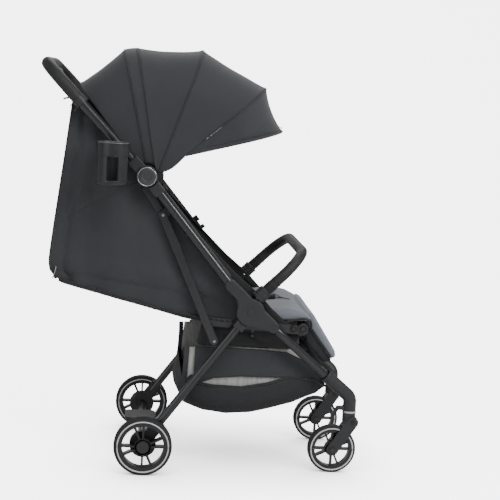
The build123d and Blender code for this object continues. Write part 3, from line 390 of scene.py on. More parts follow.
for material, names in {
        black_paint: "side_tubes front_leg_tubes handle_tube rear_leg_tubes rear_cross_tube rear_axle_tube "
                     "stay_bars seat_frame canopy_bow_rear canopy_bow_middle canopy_bow_front "
                     "canopy_bow_visor legrest_frame",
        charcoal_plastic: "junctions leg_ends hub_inners hub_outers handle_collars rear_leg_arms "
                          "rear_cross_brackets rear_wheel_housings front_left_fork front_right_fork "
                          "bumper_sockets rear_axle_pins",
        dark_plastic: "brake_pedal front_left_swivel_lock front_right_swivel_lock storage_catch fold_trigger "
                      "trigger_guide cup_clamp harness_buckle",
        cup_plastic: "cup_holder", hub_plate: "hub_caps", bright_metal: "swivel_rings",
        zinc_steel: "frame_rivets", leatherette: "handle_grip bumper_bar",
        gloss_rim: "rear_left_rim rear_right_rim front_left_rim front_right_rim",
        foam_tyre: "rear_left_tyre rear_right_tyre front_left_tyre front_right_tyre",
        charcoal_cloth: "seat_sides back_curtain seat_base backrest basket_sides canopy_panel_rear "
                        "canopy_panel_middle canopy_panel_front canopy_panel_visor basket_tub",
        slate_cloth: "seat_cushion legrest_pad", webbing: "shoulder_straps"}.items():
    for name in names.split():
        paint_node(name, material)
print("materials", len(bpy.data.materials))

# %% Floor and lamps
FLOOR_HALF = 6.0
FLOOR_FRONT = 4.5             # the floor starts this far in front of the stroller
SWEEP_RUN = 13.0              # length of the sweep along its section
SWEEP_START = 2.2
SWEEP_RADIUS = 1.6
SWEEP_STRETCH = 4             # the upright part is drawn longer than its run
BACKDROP_GLOW = 5.0
# The floor's glow is dimmed by ambient occlusion near the stroller: a painted contact shadow.
PAINTED_SHADOW_REACH = 0.30          # how near the floor feels the wheels
PAINTED_SHADOW_DEPTH = 1.4
WORLD_LIGHT = 0.36


def sweep_point(u, v):
    """The sweep's section: flat, then a quarter turn, then upright."""
    run = v * SWEEP_RUN - FLOOR_FRONT
    if run <= SWEEP_START:
        y, z = run, 0.0
    else:
        turn = min((run - SWEEP_START) / SWEEP_RADIUS, pi / 2)
        rest = max(run - SWEEP_START - SWEEP_RADIUS * pi / 2, 0)
        y = SWEEP_START + SWEEP_RADIUS * sin(turn)
        z = SWEEP_RADIUS * (1 - cos(turn)) + rest * SWEEP_STRETCH
    return Vector(((u * 2 - 1) * FLOOR_HALF, y, z))


backdrop = grid_sheet("backdrop", sweep_point, 8, 130)
backdrop_material = bpy.data.materials.new("pale_backdrop")
backdrop_material.use_nodes = True
backdrop_tree = backdrop_material.node_tree
backdrop_shader = backdrop_tree.nodes["Principled BSDF"]
backdrop_shader.inputs["Base Color"].default_value = (0.80, 0.79, 0.79, 1)
backdrop_shader.inputs["Roughness"].default_value = 1.0
backdrop_shader.inputs["Specular IOR Level"].default_value = 0.0
backdrop_shader.inputs["Emission Color"].default_value = (1.0, 0.965, 0.975, 1)
# Painted contact shadow: the glow, which only the camera sees, is dimmed where ambient occlusion finds the
# stroller near.
nearness = add_node(backdrop_tree, "ShaderNodeAmbientOcclusion", {"Distance": PAINTED_SHADOW_REACH}, samples=8)
seen_direct = add_node(backdrop_tree, "ShaderNodeLightPath")
painted_contact_shadow = add_node(backdrop_tree, "ShaderNodeMath", {0: nearness.outputs["AO"], 1: PAINTED_SHADOW_DEPTH},
                     operation="POWER")
glow_with_painted_shadow = product(backdrop_tree, painted_contact_shadow.outputs[0], seen_direct.outputs["Is Camera Ray"])
backdrop_tree.links.new(product(backdrop_tree, glow_with_painted_shadow, BACKDROP_GLOW),
                        backdrop_shader.inputs["Emission Strength"])
paint(backdrop, backdrop_material)

world = bpy.data.worlds.new("pale_world")
bpy.context.scene.world = world
world.use_nodes = True
world.node_tree.nodes["Background"].inputs["Color"].default_value = (0.93, 0.95, 1.0, 1)
world.node_tree.nodes["Background"].inputs["Strength"].default_value = WORLD_LIGHT


def lamp(name, place, target, size, power):
    """A soft square lamp, its size in metres and its power in watts, that faces a target."""
    data = bpy.data.lights.new(name, "AREA")
    data.size, data.energy = size, power
    made = bpy.data.objects.new(name, data)
    made.location = place
    made.rotation_euler = (Vector(target) - Vector(place)).to_track_quat("-Z", "Y").to_euler()
    bpy.context.collection.objects.link(made)


lamp("key", (0.9, -2.2, 3.2), (0.05, 0, 0.55), 1.6, 50)
lamp("strip", (2.35, -1.86, 1.90), (0.10, -0.2, 0.60), 0.8, 30)
lamp("fill", (-2.6, -2.4, 1.6), (0.05, 0, 0.5), 2.4, 22)
lamp("rim", (0.6, 2.2, 3.2), (0.1, 0, 0.6), 1.8, 40)

# %% [markdown]
# ## The canopy cloth
# A canopy is cloth stretched over hoops that turn about one hub. Each hoop lies in a plane with straight
# legs, round corners and a flat crown. The cloth between two hoops is close to a ruled surface that sags
# inwards a little, so it is lofted: the same place on both hoops, mixed, then pulled in by a small sag. Every
# gore is a sheet of its own that keeps, at each vertex, its share of the way between its two hoops. The gores
# are not blended between the hoops' bodies: they stay where they are drawn when the hood folds.

# %% Hoop lines
# foot x, foot z, crown x, crown z, half width
HUB = Vector(record_joints["handle_fold"]["pos_m"])
REAR_HEM = (-0.045, 0.769, -0.193, 0.9515, 0.1925)
BAND_BACK = (-0.026, 0.771, -0.090, 1.0400, 0.1930)
BAND_FRONT = (-0.004, 0.768, -0.057, 1.0455, 0.1925)
MIDDLE_HOOP = (0.005, 0.750, 0.104, 1.0490, 0.1880)
FRONT_HOOP = (0.070, 0.795, 0.267, 0.9645, 0.1830)
VISOR_HEM = (0.071, 0.794, 0.3135, 0.8610, 0.1775)
HOOP_CORNER = 0.112
HOOP_CROWN = 0.004
HOOD_MIDDLE = Vector((0.02, 0, 0.80))     # the cloth sags towards here
ACROSS = 120


def hoop_point(hoop, u):
    """A point on a hoop from its right foot (u = 0) over the crown to its left foot (u = 1)."""
    foot_x, foot_z, crown_x, crown_z, half = hoop
    foot, crown = Vector((foot_x, 0, foot_z)), Vector((crown_x, 0, crown_z))
    rise = (crown - foot).length
    corner = min(HOOP_CORNER, rise * 0.85)
    leg, flat, bend = rise - corner, half - corner, corner * pi / 2
    run = abs(u - 0.5) * 2 * (leg + flat + bend)       # measured from the crown's middle
    if run < flat:
        y, high = run, rise
    elif run < flat + bend:
        turn = (run - flat) / corner
        y, high = flat + corner * sin(turn), rise - corner * (1 - cos(turn))
    else:
        y, high = half, leg - (run - flat - bend)
    high += HOOP_CROWN * max(1 - (y / half) ** 2, 0)
    point = foot.lerp(crown, high / rise)
    return Vector((point.x, -y if u < 0.5 else y, point.z))


def gore(name, first, second, rows, sag, hem_drop=0.0, edge_sag=0.0):
    """The cloth between two hoops, with its share of the way from the first to the second kept per vertex."""
    def place(u, v):
        a, b = hoop_point(first, u), hoop_point(second, u)
        point = a.lerp(b, v)
        belly = 4 * v * (1 - v)
        top = ease(1 - abs(u - 0.5) * 2.6)
        side = min(abs(u), abs(1 - u)) * 5
        inward = (HOOD_MIDDLE - point).normalized()
        point += inward * belly * (sag * top + edge_sag * min(side, 1) * (1 - top))
        point.z -= hem_drop * belly * max(1 - side, 0)
        point += inward * 0.0012 * noise.noise(point * 16.0) * min(side, 1) * belly
        return point

    piece = grid_sheet(name, place, ACROSS, rows)
    share = piece.data.attributes.new("share", "FLOAT", "POINT")
    row = ACROSS + 1
    share.data.foreach_set("value", [(i // row) / rows for i in range(row * (rows + 1))])
    return thicken(piece)


def thicken(piece, thickness=0.0012):
    """Give a sheet its cloth thickness as a closed mesh; attributes go along."""
    modifier(piece, "SOLIDIFY", thickness=thickness, offset=0)
    return apply_modifiers(piece)


def bend_by_share(piece, a, b, ramp=lambda share, place: share):
    """Bake a piece's transform and work out a ramp of its share attribute at each vertex; nothing uses the
    values, so the piece is not blended. The bodies a and b are not used.
    """
    shares = [0.0] * len(piece.data.vertices)
    piece.data.attributes["share"].data.foreach_get("value", shares)
    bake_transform(piece)
    values = [ramp(share, vertex.co) for share, vertex in zip(shares, piece.data.vertices)]
    return piece


def lengths(first, second):
    """The flat width and length of a gore: its longer hoop, and its longest run between the hoops."""
    steps = 60
    hoops = [[hoop_point(hoop, i / steps) for i in range(steps + 1)] for hoop in (first, second)]
    wide = max(sum((b - a).length for a, b in zip(line, line[1:])) for line in hoops)
    runs = [(b - a).length for a, b in zip(*hoops)]
    return wide, max(runs)


# %% Gores
canopy_rear = gore("canopy_rear_gore", REAR_HEM, BAND_BACK, 24, 0.003, edge_sag=0.004)
canopy_band = gore("canopy_rear_band", BAND_BACK, BAND_FRONT, 8, -0.0015)
canopy_middle = gore("canopy_middle_gore", BAND_FRONT, MIDDLE_HOOP, 28, 0.007, hem_drop=0.004,
                     edge_sag=0.0025)
canopy_front = gore("canopy_front_gore", MIDDLE_HOOP, FRONT_HOOP, 28, 0.003, hem_drop=0.013,
                    edge_sag=0.002)
canopy_visor = gore("canopy_visor_gore", FRONT_HOOP, VISOR_HEM, 20, 0.009, edge_sag=0.003)


def mesh_area(piece):
    """The area of all faces: twice the cloth's, once it is thickened."""
    return sum(face.area for face in piece.data.polygons)


VISOR_PIVOT_REACH = 0.06
knee = Vector((FRONT_HOOP[0], 0, FRONT_HOOP[1]))


def visor_ramp(share, place):
    """The visor's share, faded to nothing near its knee, where it is sewn to the front hoop."""
    return share * ease((Vector((place.x, 0, place.z)) - knee).length / VISOR_PIVOT_REACH)


for piece, bodies, hoops, node, ramp in (
        (canopy_rear, ("handle", "root"), (REAR_HEM, BAND_BACK), "canopy_panel_rear", None),
        (canopy_middle, ("root", "canopy_middle"), (BAND_FRONT, MIDDLE_HOOP), "canopy_panel_middle", None),
        (canopy_front, ("canopy_middle", "canopy_front"), (MIDDLE_HOOP, FRONT_HOOP), "canopy_panel_front",
         None),
        (canopy_visor, ("canopy_front", "canopy_visor"), (FRONT_HOOP, VISOR_HEM), "canopy_panel_visor",
         visor_ramp)):
    wide, long = lengths(*hoops)
    bend_by_share(piece, *bodies, ramp or (lambda share, place: share))
    paint(piece, charcoal_cloth)
    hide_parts(node)
    min(mesh_area(piece) / 2, wide * long)
    print(piece.name, "flat", round(wide, 3), round(long, 3), "area", round(mesh_area(piece) / 2, 4))
wide, long = lengths(BAND_BACK, BAND_FRONT)
paint(canopy_band, charcoal_cloth)
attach(canopy_band, "root")

# %% [markdown]
# ## Piping and hems
# Where two gores meet, a thin cord is sewn into the seam. It is drawn by Geometry Nodes: the seam line is a
# curve, and the tree sweeps a small circle along it. The same tree makes every seam, hem and zip tape on the
# stroller, with its own width and flatness each time.

# %% Seam tree
def new_tree(name, inputs):
    """A Geometry Nodes tree with a geometry input and output and named inputs."""
    tree = bpy.data.node_groups.new(name, "GeometryNodeTree")
    tree.interface.new_socket("Geometry", in_out="INPUT", socket_type="NodeSocketGeometry")
    tree.interface.new_socket("Geometry", in_out="OUTPUT", socket_type="NodeSocketGeometry")
    for label, (kind, default) in inputs.items():
        socket = tree.interface.new_socket(label, in_out="INPUT", socket_type=kind)
        if default is not None:
            socket.default_value = default
    return tree, tree.nodes.new("NodeGroupInput"), tree.nodes.new("NodeGroupOutput")


def run_tree(name, piece, tree, **values):
    """Run a tree on an object and keep the result as a plain mesh object."""
    added = piece.modifiers.new("nodes", "NODES")
    added.node_group = tree
    for item in tree.interface.items_tree:
        if item.in_out == "INPUT" and item.name.replace(" ", "_").lower() in values:
            added[item.identifier] = values[item.name.replace(" ", "_").lower()]
    bpy.context.view_layer.update()
    seen = piece.evaluated_get(bpy.context.evaluated_depsgraph_get())
    mesh = bpy.data.meshes.new_from_object(seen)
    mesh.name = name
    made = bpy.data.objects.new(name, mesh)
    bpy.context.collection.objects.link(made)
    bpy.data.objects.remove(piece)
    made.data.shade_smooth()
    return made


seam_tree, seam_in, seam_out = new_tree("sewn_cord", {
    "Half Width": (FLOAT, 0.001), "Half Height": (FLOAT, 0.001), "Sides": ("NodeSocketInt", 10),
    "Material": ("NodeSocketMaterial", None)})
seam_circle = add_node(seam_tree, "GeometryNodeCurvePrimitiveCircle", {"Resolution": seam_in.outputs["Sides"],
                                                                        "Radius": 1.0})
seam_scale = add_node(seam_tree, "ShaderNodeCombineXYZ", {"X": seam_in.outputs["Half Width"],
                                                           "Y": seam_in.outputs["Half Height"], "Z": 1.0})
seam_oval = add_node(seam_tree, "GeometryNodeTransform", {"Geometry": seam_circle.outputs["Curve"],
                                                          "Scale": seam_scale.outputs["Vector"]})
seam_sweep = add_node(seam_tree, "GeometryNodeCurveToMesh", {"Curve": seam_in.outputs["Geometry"],
                      "Profile Curve": seam_oval.outputs["Geometry"], "Fill Caps": True})
seam_real = add_node(seam_tree, "GeometryNodeRealizeInstances", {"Geometry": seam_sweep.outputs["Mesh"]})
seam_paint = add_node(seam_tree, "GeometryNodeSetMaterial", {"Geometry": seam_real.outputs["Geometry"],
                                                             "Material": seam_in.outputs["Material"]})
seam_tree.links.new(seam_paint.outputs["Geometry"], seam_out.inputs["Geometry"])


def line_curve(name, lines, closed=False):
    """A curve object with one poly spline for each list of points."""
    data = bpy.data.curves.new(name, "CURVE")
    data.dimensions = "3D"
    data.twist_mode = "Z_UP"
    for points in lines:
        spline = data.splines.new("POLY")
        spline.points.add(len(points) - 1)
        for target, point in zip(spline.points, points):
            target.co = (*point, 1)
        spline.use_cyclic_u = closed
    made = bpy.data.objects.new(name, data)
    bpy.context.collection.objects.link(made)
    return made


def sewn(name, lines, material, half_width=0.0011, half_height=0.0011, body=None, sides=10, closed=False):
    """Cords, tapes or wires along lines of points, on one body."""
    made = run_tree(name, line_curve(name + "_line", lines, closed), seam_tree, half_width=half_width,
                    half_height=half_height, sides=sides, material=material)
    outward(made)
    if body:
        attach(made, body)
    return made


# %% Canopy seams
def hoop_line(hoop, lift=0.0007, steps=150):
    """The points of a hoop, pushed a little out of the cloth."""
    points = [hoop_point(hoop, i / steps) for i in range(steps + 1)]
    return [p + (p - HOOD_MIDDLE).normalized() * lift for p in points]


sewn("band_back_seam", [hoop_line(BAND_BACK)], thread, 0.0016, 0.0016, "root")
sewn("band_front_seam", [hoop_line(BAND_FRONT)], thread, 0.0016, 0.0016, "root")
sewn("middle_hoop_seam", [hoop_line(MIDDLE_HOOP)], thread, 0.0015, 0.0015, "canopy_middle")
sewn("front_hoop_seam", [hoop_line(FRONT_HOOP)], thread, 0.0015, 0.0015, "canopy_front")
visor_wire = sewn("visor_hem", [hoop_line(VISOR_HEM, 0.0)], charcoal_cloth, 0.0026, 0.0030, "canopy_visor",
                  12)
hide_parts("canopy_bow_visor")
sewn("visor_hem_stitch", [[p + Vector((-0.002, 0, 0.0085)) for p in hoop_line(VISOR_HEM, 0.0012)]], thread,
     0.0009, 0.0009, "canopy_visor", 8)
sewn("rear_hem", [hoop_line(REAR_HEM, 0.0)], thread, 0.0022, 0.0022, "handle", 12)
print("canopy seams done")

# %% [markdown]
# ## The side cloth and the rear curtain
# Below the canopy, cloth hangs from the handle tubes and runs down past the backrest. Each panel has four
# edges that are easy to draw from the side, so its inside follows from them as a Coons patch: opposite edges
# are mixed, and the corners counted twice are taken off again. Slow waves across the panel give the soft
# vertical folds of hanging cloth, and the lower part is drawn in, as the elastic in its hem does. The panels
# are cut where the handle's turn ends; they are not blended with the handle or the backrest and stay where
# they are drawn.

# %% Outlines
SIDE_Y = 0.1965
SEAM_REAR = (-0.2430, 0.6080)
REAR_EDGE_UP = [SEAM_REAR, (-0.2340, 0.6870), (-0.2215, 0.7980), (-0.2100, 0.9080)]
REAR_EDGE_LOW = [(-0.2330, 0.4800), (-0.2480, 0.4990), (-0.2515, 0.5200), (-0.2480, 0.5600), SEAM_REAR]
TUBE_EDGE_UP = [(HUB.x, HUB.z), (-0.0900, 0.8080), (-0.1950, 0.9030)]
TUBE_EDGE_LOW = [(0.2250, 0.3860), (0.2260, 0.4400), (0.1900, 0.4850), (0.0600, 0.6330), (HUB.x, HUB.z)]
LOWER_EDGE = [(-0.2330, 0.4800), (-0.1870, 0.4620), (-0.1000, 0.4420), (-0.0230, 0.4210), (0.0080, 0.4115),
              (0.0540, 0.4050), (0.1310, 0.3920), (0.1850, 0.3850), (0.2250, 0.3860)]
TOP_EDGE = [(-0.2100, 0.9080), (-0.1950, 0.9030)]


def coons(u, v, low, top, left, right_edge):
    """The point of a patch between four side-view polylines, u from left to right and v from low to top."""
    def on(line, share):
        return along_line([(x, 0, z) for x, z in line], share)
    a, b, c, d = on(low, u), on(top, u), on(left, v), on(right_edge, v)
    corners = ((1 - u) * (1 - v) * on(low, 0) + u * (1 - v) * on(low, 1)
               + (1 - u) * v * on(top, 0) + u * v * on(top, 1))
    return (1 - v) * a + v * b + (1 - u) * c + u * d - corners


def bell(value, centre, width):
    """A smooth bump: 1 at the centre, falling off over the width."""
    return exp(-((value - centre) / width) ** 2)


def rear_edge_x(z):
    """The rear edge's x at a height."""
    line = sorted(REAR_EDGE_LOW + REAR_EDGE_UP[1:], key=lambda p: p[1])
    for (x0, z0), (x1, z1) in zip(line, line[1:]):
        if z0 <= z <= z1:
            return mix(x0, x1, (z - z0) / (z1 - z0))
    return line[0][0] if z < line[0][1] else line[-1][0]


def hang(point, edge_hold):
    """How far the side cloth stands out from its plane at a side-view place."""
    x, z = point.x, point.z
    from_rear = x - rear_edge_x(z)
    folds = -0.0065 * bell(from_rear, 0.034, 0.010) + 0.0035 * bell(from_rear, 0.062, 0.018)
    folds += 0.0028 * sin(from_rear * 48 + 0.6) * bell(from_rear, 0.16, 0.12)
    lower = mix(0.502, 0.474, (x + 0.19) / 0.22)
    folds -= 0.0050 * ease((lower - z) / 0.018) - 0.0020 * bell(z, lower + 0.02, 0.016)
    folds += 0.0020 * noise.noise(Vector((x * 9, z * 5, 3.0)))
    folds += 0.0008 * noise.noise(Vector((x * 38, z * 22, 7.0)))
    return folds * edge_hold


def side_panel(name, side, low, top, left, right_edge, across, along):
    """A panel of side cloth between four side-view edges."""
    def place(u, v):
        point = coons(u, v, low, top, left, right_edge)
        edge_hold = ease(min(u * 14, (1 - u) * 9, 1))
        y = SIDE_Y - 0.0035 + hang(point, edge_hold)
        y = min(y, SIDE_Y + 0.0035)
        return Vector((point.x, side * y, point.z))
    return thicken(grid_sheet(name, place, across, along), 0.0011)


def angle_about(place, centre):
    """The angle of a place about a centre in the side view, up from straight ahead, in degrees."""
    return degrees(atan2(place.z - centre.z, place.x - centre.x)) % 360


HANDLE_ANGLE = degrees(atan2(0.903 - HUB.z, -0.195 - HUB.x))
SEAM_ANGLE = degrees(atan2(SEAM_REAR[1] - HUB.z, SEAM_REAR[0] - HUB.x)) % 360
RECLINE = Vector(record_joints["backrest_recline"]["pos_m"])


def handle_share(place):
    """0 along the handle tube, 1 at the seam below, by the angle about the hub."""
    return min(max((angle_about(place, HUB) - HANDLE_ANGLE) / (SEAM_ANGLE - HANDLE_ANGLE), 0), 1)


def recline_share(place):
    """0 at the seam, 1 along the backrest's end."""
    return ease((mix(SEAM_REAR[1], 0.60, 0.5) - place.z) / 0.10) * ease((0.05 - place.x) / 0.20)


def bend_by_rule(piece, rule):
    """Bake a piece's transform and work out a rule's value at each vertex's place; nothing uses the values, so
    the piece is not blended.
    """
    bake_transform(piece)
    values = [rule(vertex.co) for vertex in piece.data.vertices]
    return piece


# %% Side panels
SEAM_LINE = [SEAM_REAR, (HUB.x, HUB.z)]
for side, hand in ((-1, "right"), (1, "left")):
    upper = side_panel(f"side_cloth_upper_{hand}", side, SEAM_LINE, TOP_EDGE, REAR_EDGE_UP, TUBE_EDGE_UP,
                       70, 80)
    bend_by_rule(upper, handle_share)
    lower = side_panel(f"side_cloth_lower_{hand}", side, LOWER_EDGE, SEAM_LINE, REAR_EDGE_LOW, TUBE_EDGE_LOW,
                       110, 90)
    bend_by_rule(lower, recline_share)
    for piece, flat in ((upper, (0.25, 0.35)), (lower, (0.50, 0.38))):
        paint(piece, charcoal_cloth)
        area = mesh_area(piece) / 2
        print(piece.name, round(area, 4))
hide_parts("seat_sides")

# %% Rear curtain
CURTAIN_HALF = SIDE_Y - 0.0035


def curtain_place(edge, u, v):
    """The curtain between the two rear edges, round at its corners and a little slack in the middle."""
    point = along_line([(x, 0, z) for x, z in edge], v)
    y = (u * 2 - 1) * CURTAIN_HALF
    belly = 1 - (u * 2 - 1) ** 4
    folds = 0.0030 * sin(u * 22 + point.z * 6) * belly
    folds += 0.0025 * noise.noise(Vector((y * 9, point.z * 4, 11.0))) * belly
    sunk = 0.004 * (1 - belly)                     # the corners turn forwards
    return Vector((point.x + folds + sunk - 0.0015, y, point.z))


curtain_up = grid_sheet("rear_curtain_upper", lambda u, v: curtain_place(REAR_EDGE_UP, u, v), 110, 60)
thicken(curtain_up)
bend_by_rule(curtain_up, handle_share)
curtain_down = grid_sheet("rear_curtain_lower", lambda u, v: curtain_place(REAR_EDGE_LOW, u, v), 110, 40)
thicken(curtain_down)
bend_by_rule(curtain_down, recline_share)
for piece, flat in ((curtain_up, (0.41, 0.31)), (curtain_down, (0.41, 0.15))):
    paint(piece, charcoal_cloth)
    min(mesh_area(piece) / 2, flat[0] * flat[1])
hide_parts("back_curtain")

# %% Zip tapes and hems
for side, hand in ((-1, "right"), (1, "left")):
    tape = [along_line([(x, 0, z) for x, z in REAR_EDGE_UP], i / 40) for i in range(41)]
    tape = [Vector((p.x + 0.0015, side * (SIDE_Y - 0.0030), p.z)) for p in tape]
    zip_up = sewn(f"zip_tape_upper_{hand}", [tape], thread, 0.0024, 0.0024, None, 8)
    bend_by_rule(zip_up, handle_share)
    tape = [along_line([(x, 0, z) for x, z in REAR_EDGE_LOW], i / 40) for i in range(41)]
    tape = [Vector((p.x + 0.0015, side * (SIDE_Y - 0.0030), p.z)) for p in tape]
    zip_low = sewn(f"zip_tape_lower_{hand}", [tape], thread, 0.0024, 0.0024, None, 8)
    bend_by_rule(zip_low, recline_share)
    hem = []
    for i in range(241):
        p = along_line([(x, 0, z) for x, z in LOWER_EDGE], i / 240)
        gather = 0.0012 * sin(i * 0.9) + 0.0010 * noise.noise(Vector((i * 0.21, 0, side)))
        hem.append(Vector((p.x, side * (SIDE_Y - 0.0070 + gather), p.z + 0.002 + gather * 0.9)))
    hem_roll = sewn(f"elastic_hem_{hand}", [hem], lining_cloth, 0.0042, 0.0034, None, 12)
    bend_by_rule(hem_roll, recline_share)
rear_roll = [Vector((REAR_EDGE_LOW[0][0] + 0.002 * sin(i * 0.5), (i / 60 * 2 - 1) * CURTAIN_HALF,
                     REAR_EDGE_LOW[0][1])) for i in range(61)]
rear_roll = sewn("rear_hem_roll", [rear_roll], lining_cloth, 0.0045, 0.0045, None, 12)
bend_by_rule(rear_roll, recline_share)

# %% [markdown]
# ## The basket
# The shopping basket is a soft tub of dark mesh that hangs between the legs, with a black panel along the top
# of each side and paler mesh in the gap between. The tub is one surface from a rule: at every step from back
# to front a boxy half oval joins the two rims through the bottom line. Its rims and bottom are plain
# polylines, and its back corners are rounded in plan.

# %% Basket finishes
mesh_tree, mesh_in, mesh_out = new_group(
    "open_mesh", {"Thread": (COLOUR, (0.2, 0.2, 0.19, 1)), "Behind": (COLOUR, (0.06, 0.06, 0.06, 1)),
                  "Pitch": (FLOAT, 1400.0)}, SURFACE)
mesh_place = add_node(mesh_tree, "ShaderNodeTexCoord")
mesh_axes = add_node(mesh_tree, "ShaderNodeSeparateXYZ", {0: mesh_place.outputs["Object"]})
mesh_wave = product(mesh_tree, wave(mesh_tree, mesh_axes.outputs[0], mesh_in.outputs["Pitch"]),
                    wave(mesh_tree, mesh_axes.outputs[2], mesh_in.outputs["Pitch"]))
streak_scale = add_node(mesh_tree, "ShaderNodeVectorMath",
                        {0: mesh_place.outputs["Object"], 1: (150, 60, 22)}, operation="MULTIPLY")
streaks = add_node(mesh_tree, "ShaderNodeTexNoise", {"Vector": streak_scale.outputs[0], "Scale": 1.0,
                                                     "Detail": 4.0})
mesh_share = total(mesh_tree, spread(mesh_tree, mesh_wave, 0.30, 0.62),
                   product(mesh_tree, streaks.outputs[0], 1.1), -0.45)
mesh_tree.links.new(colour_mix(mesh_tree, mesh_share, mesh_in.outputs["Behind"], mesh_in.outputs["Thread"]),
                    mesh_out.inputs["Color"])
mesh_tree.links.new(spread(mesh_tree, streaks.outputs[0], 0.6, 0.9), mesh_out.inputs["Roughness"])
mesh_tree.links.new(total(mesh_tree, mesh_wave, product(mesh_tree, streaks.outputs[0], 1.5)),
                    mesh_out.inputs["Height"])
pale_mesh = finish("pale_mesh", mesh_tree, {"Thread": (0.62, 0.62, 0.58, 1),
                                            "Behind": (0.24, 0.24, 0.225, 1)}, bump=0.4, bump_depth=0.001)
dark_mesh = finish("dark_mesh", mesh_tree, {"Thread": grey(0.030, 0.1), "Behind": grey(0.013, 0.1)},
                   bump=0.4, bump_depth=0.0006)

# %% Tub
TUB_BOTTOM = [(0.091, 0.240), (0.075, 0.200), (0.098, 0.157), (0.147, 0.138), (0.205, 0.130), (0.267, 0.135),
              (0.379, 0.163), (0.440, 0.192), (0.462, 0.222)]
TUB_RIM = [(0.091, 0.240), (0.120, 0.228), (0.165, 0.220), (0.242, 0.218), (0.310, 0.231), (0.361, 0.247),
           (0.420, 0.243), (0.462, 0.222)]
TUB_BOX = 4.0                 # how boxy the tub's section is: 2 would be an ellipse
BASKET_HALF = 0.1785
BASKET_BACK = 0.066
BASKET_CORNER = 0.045


def basket_half(x):
    """The half width: rounded in at the back, full between the rear legs, narrower at the front wheels."""
    run_in = min(max((x - BASKET_BACK) / BASKET_CORNER, 0), 1)
    corner = (1 - (1 - run_in) ** 2.5) ** 0.4
    return (BASKET_HALF - 0.030 * ease((x - 0.29) / 0.18)) * corner


def tub_place(u, v):
    """The tub's point: u goes round from the left rim to the right one, v from back to front."""
    bottom = along_line([(x, 0, z) for x, z in TUB_BOTTOM], v)
    rim = along_line([(x, 0, z) for x, z in TUB_RIM], v)
    turn = u * pi
    out = (abs(cos(turn)) ** (2 / TUB_BOX)) * (1 if cos(turn) < 0 else -1)
    drop = sin(turn) ** (2 / TUB_BOX) if 0 < u < 1 else 0
    point = rim.lerp(bottom, drop)
    y = basket_half(point.x) * out * (1 + 0.01 * drop)
    ripple = 0.0022 * noise.noise(Vector((point.x * 14, y * 8, point.z * 12))) * sin(v * pi)
    return Vector((point.x, y + ripple * (1 if y > 0 else -1) * (1 - drop * 0.6), point.z + ripple * drop))


tub = thicken(grid_sheet("basket_tub_cloth", tub_place, 110, 90), 0.0011)
paint(tub, dark_mesh)
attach(tub, "root")
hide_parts("basket_tub")

# %% Mesh and black side panels
PANEL_TOP = [(0.120, 0.3170), (0.221, 0.3165), (0.288, 0.3150), (0.354, 0.3080), (0.414, 0.2800),
             (0.448, 0.2550)]
PANEL_LOW = [(0.120, 0.2230), (0.150, 0.2330), (0.170, 0.2410), (0.241, 0.2475), (0.361, 0.2470),
             (0.448, 0.2350)]
MESH_TOP = [(0.106, 0.3150), (0.250, 0.3190), (0.368, 0.3190), (0.425, 0.2780)]
MESH_LOW = [(0.100, 0.2100), (0.180, 0.2050), (0.300, 0.2080), (0.425, 0.2250)]


def basket_side(name, side, low, top, stand, material, ripple):
    """A side panel of the basket between two side-view edges."""
    def place(u, v):
        a = along_line([(x, 0, z) for x, z in low], u)
        b = along_line([(x, 0, z) for x, z in top], u)
        point = a.lerp(b, v)
        wave_out = ripple * noise.noise(Vector((point.x * 60, point.z * 9, 5 * side))) * sin(v * pi)
        wave_out += 0.6 * ripple * noise.noise(Vector((point.x * 11, point.z * 14, side)))
        return Vector((point.x, side * (basket_half(point.x) + stand + wave_out), point.z))
    piece = thicken(grid_sheet(name, place, 90, 30), 0.0010)
    paint(piece, material)
    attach(piece, "root")
    return piece


STRAP_LINE = [(0.0975, 0, 0.314), (0.0985, 0, 0.285), (0.0970, 0, 0.240), (0.0930, 0, 0.205)]
STRAP_WIDTH = 0.0125
basket_pieces = []
for side, hand in ((-1, "right"), (1, "left")):
    mesh_side = basket_side(f"basket_mesh_{hand}", side, MESH_LOW, MESH_TOP, -0.0035, pale_mesh, 0.0025)
    panel_side = basket_side(f"basket_panel_{hand}", side, PANEL_LOW, PANEL_TOP, 0.0012, charcoal_cloth,
                             0.0015)
    rim = [Vector((p.x, side * (basket_half(p.x) + 0.0015), p.z)) for p in
           (along_line([(x, 0, z) for x, z in TUB_RIM], i / 90) for i in range(91))]
    sewn(f"tub_binding_{hand}", [rim], thread, 0.0016, 0.0030, "root", 8)
    for label, edge in (("low", PANEL_LOW), ("top", PANEL_TOP)):
        line = [Vector((p.x, side * (basket_half(p.x) + 0.0016), p.z)) for p in
                (along_line([(x, 0, z) for x, z in edge], i / 80) for i in range(81))]
        sewn(f"panel_binding_{label}_{hand}", [line], thread, 0.0012, 0.0022, "root", 8)
    strap_y = side * (basket_half(STRAP_LINE[1][0]) + 0.0008)
    strap = grid_sheet(f"basket_strap_{hand}", lambda u, v, y=strap_y: along_line(STRAP_LINE, v) + Vector(
        ((u - 0.5) * STRAP_WIDTH, y, 0)), 6, 30)
    thicken(strap, 0.0014)
    paint(strap, charcoal_cloth)
    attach(strap, "root")
    basket_pieces += [mesh_side, panel_side]
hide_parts("basket_sides")

# %% [markdown]
# ## The seat, the backrest and the leg rest
# The padded parts are foam in a sewn cover. Each starts as its side outline pulled to its width, is remeshed
# into even squares, and is then blown up a little as cloth with no gravity, so that the faces swell and the
# edges pull in, as they do on a real cushion. Darker piping marks where the covers are sewn.

# %% A pad from its outline
PAD_VOXEL = 0.0055
PAD_FRAMES = 20
PAD_MOST = 0.0028            # no point of a pad swells further than this
CHANNEL_WIDTH = 0.005


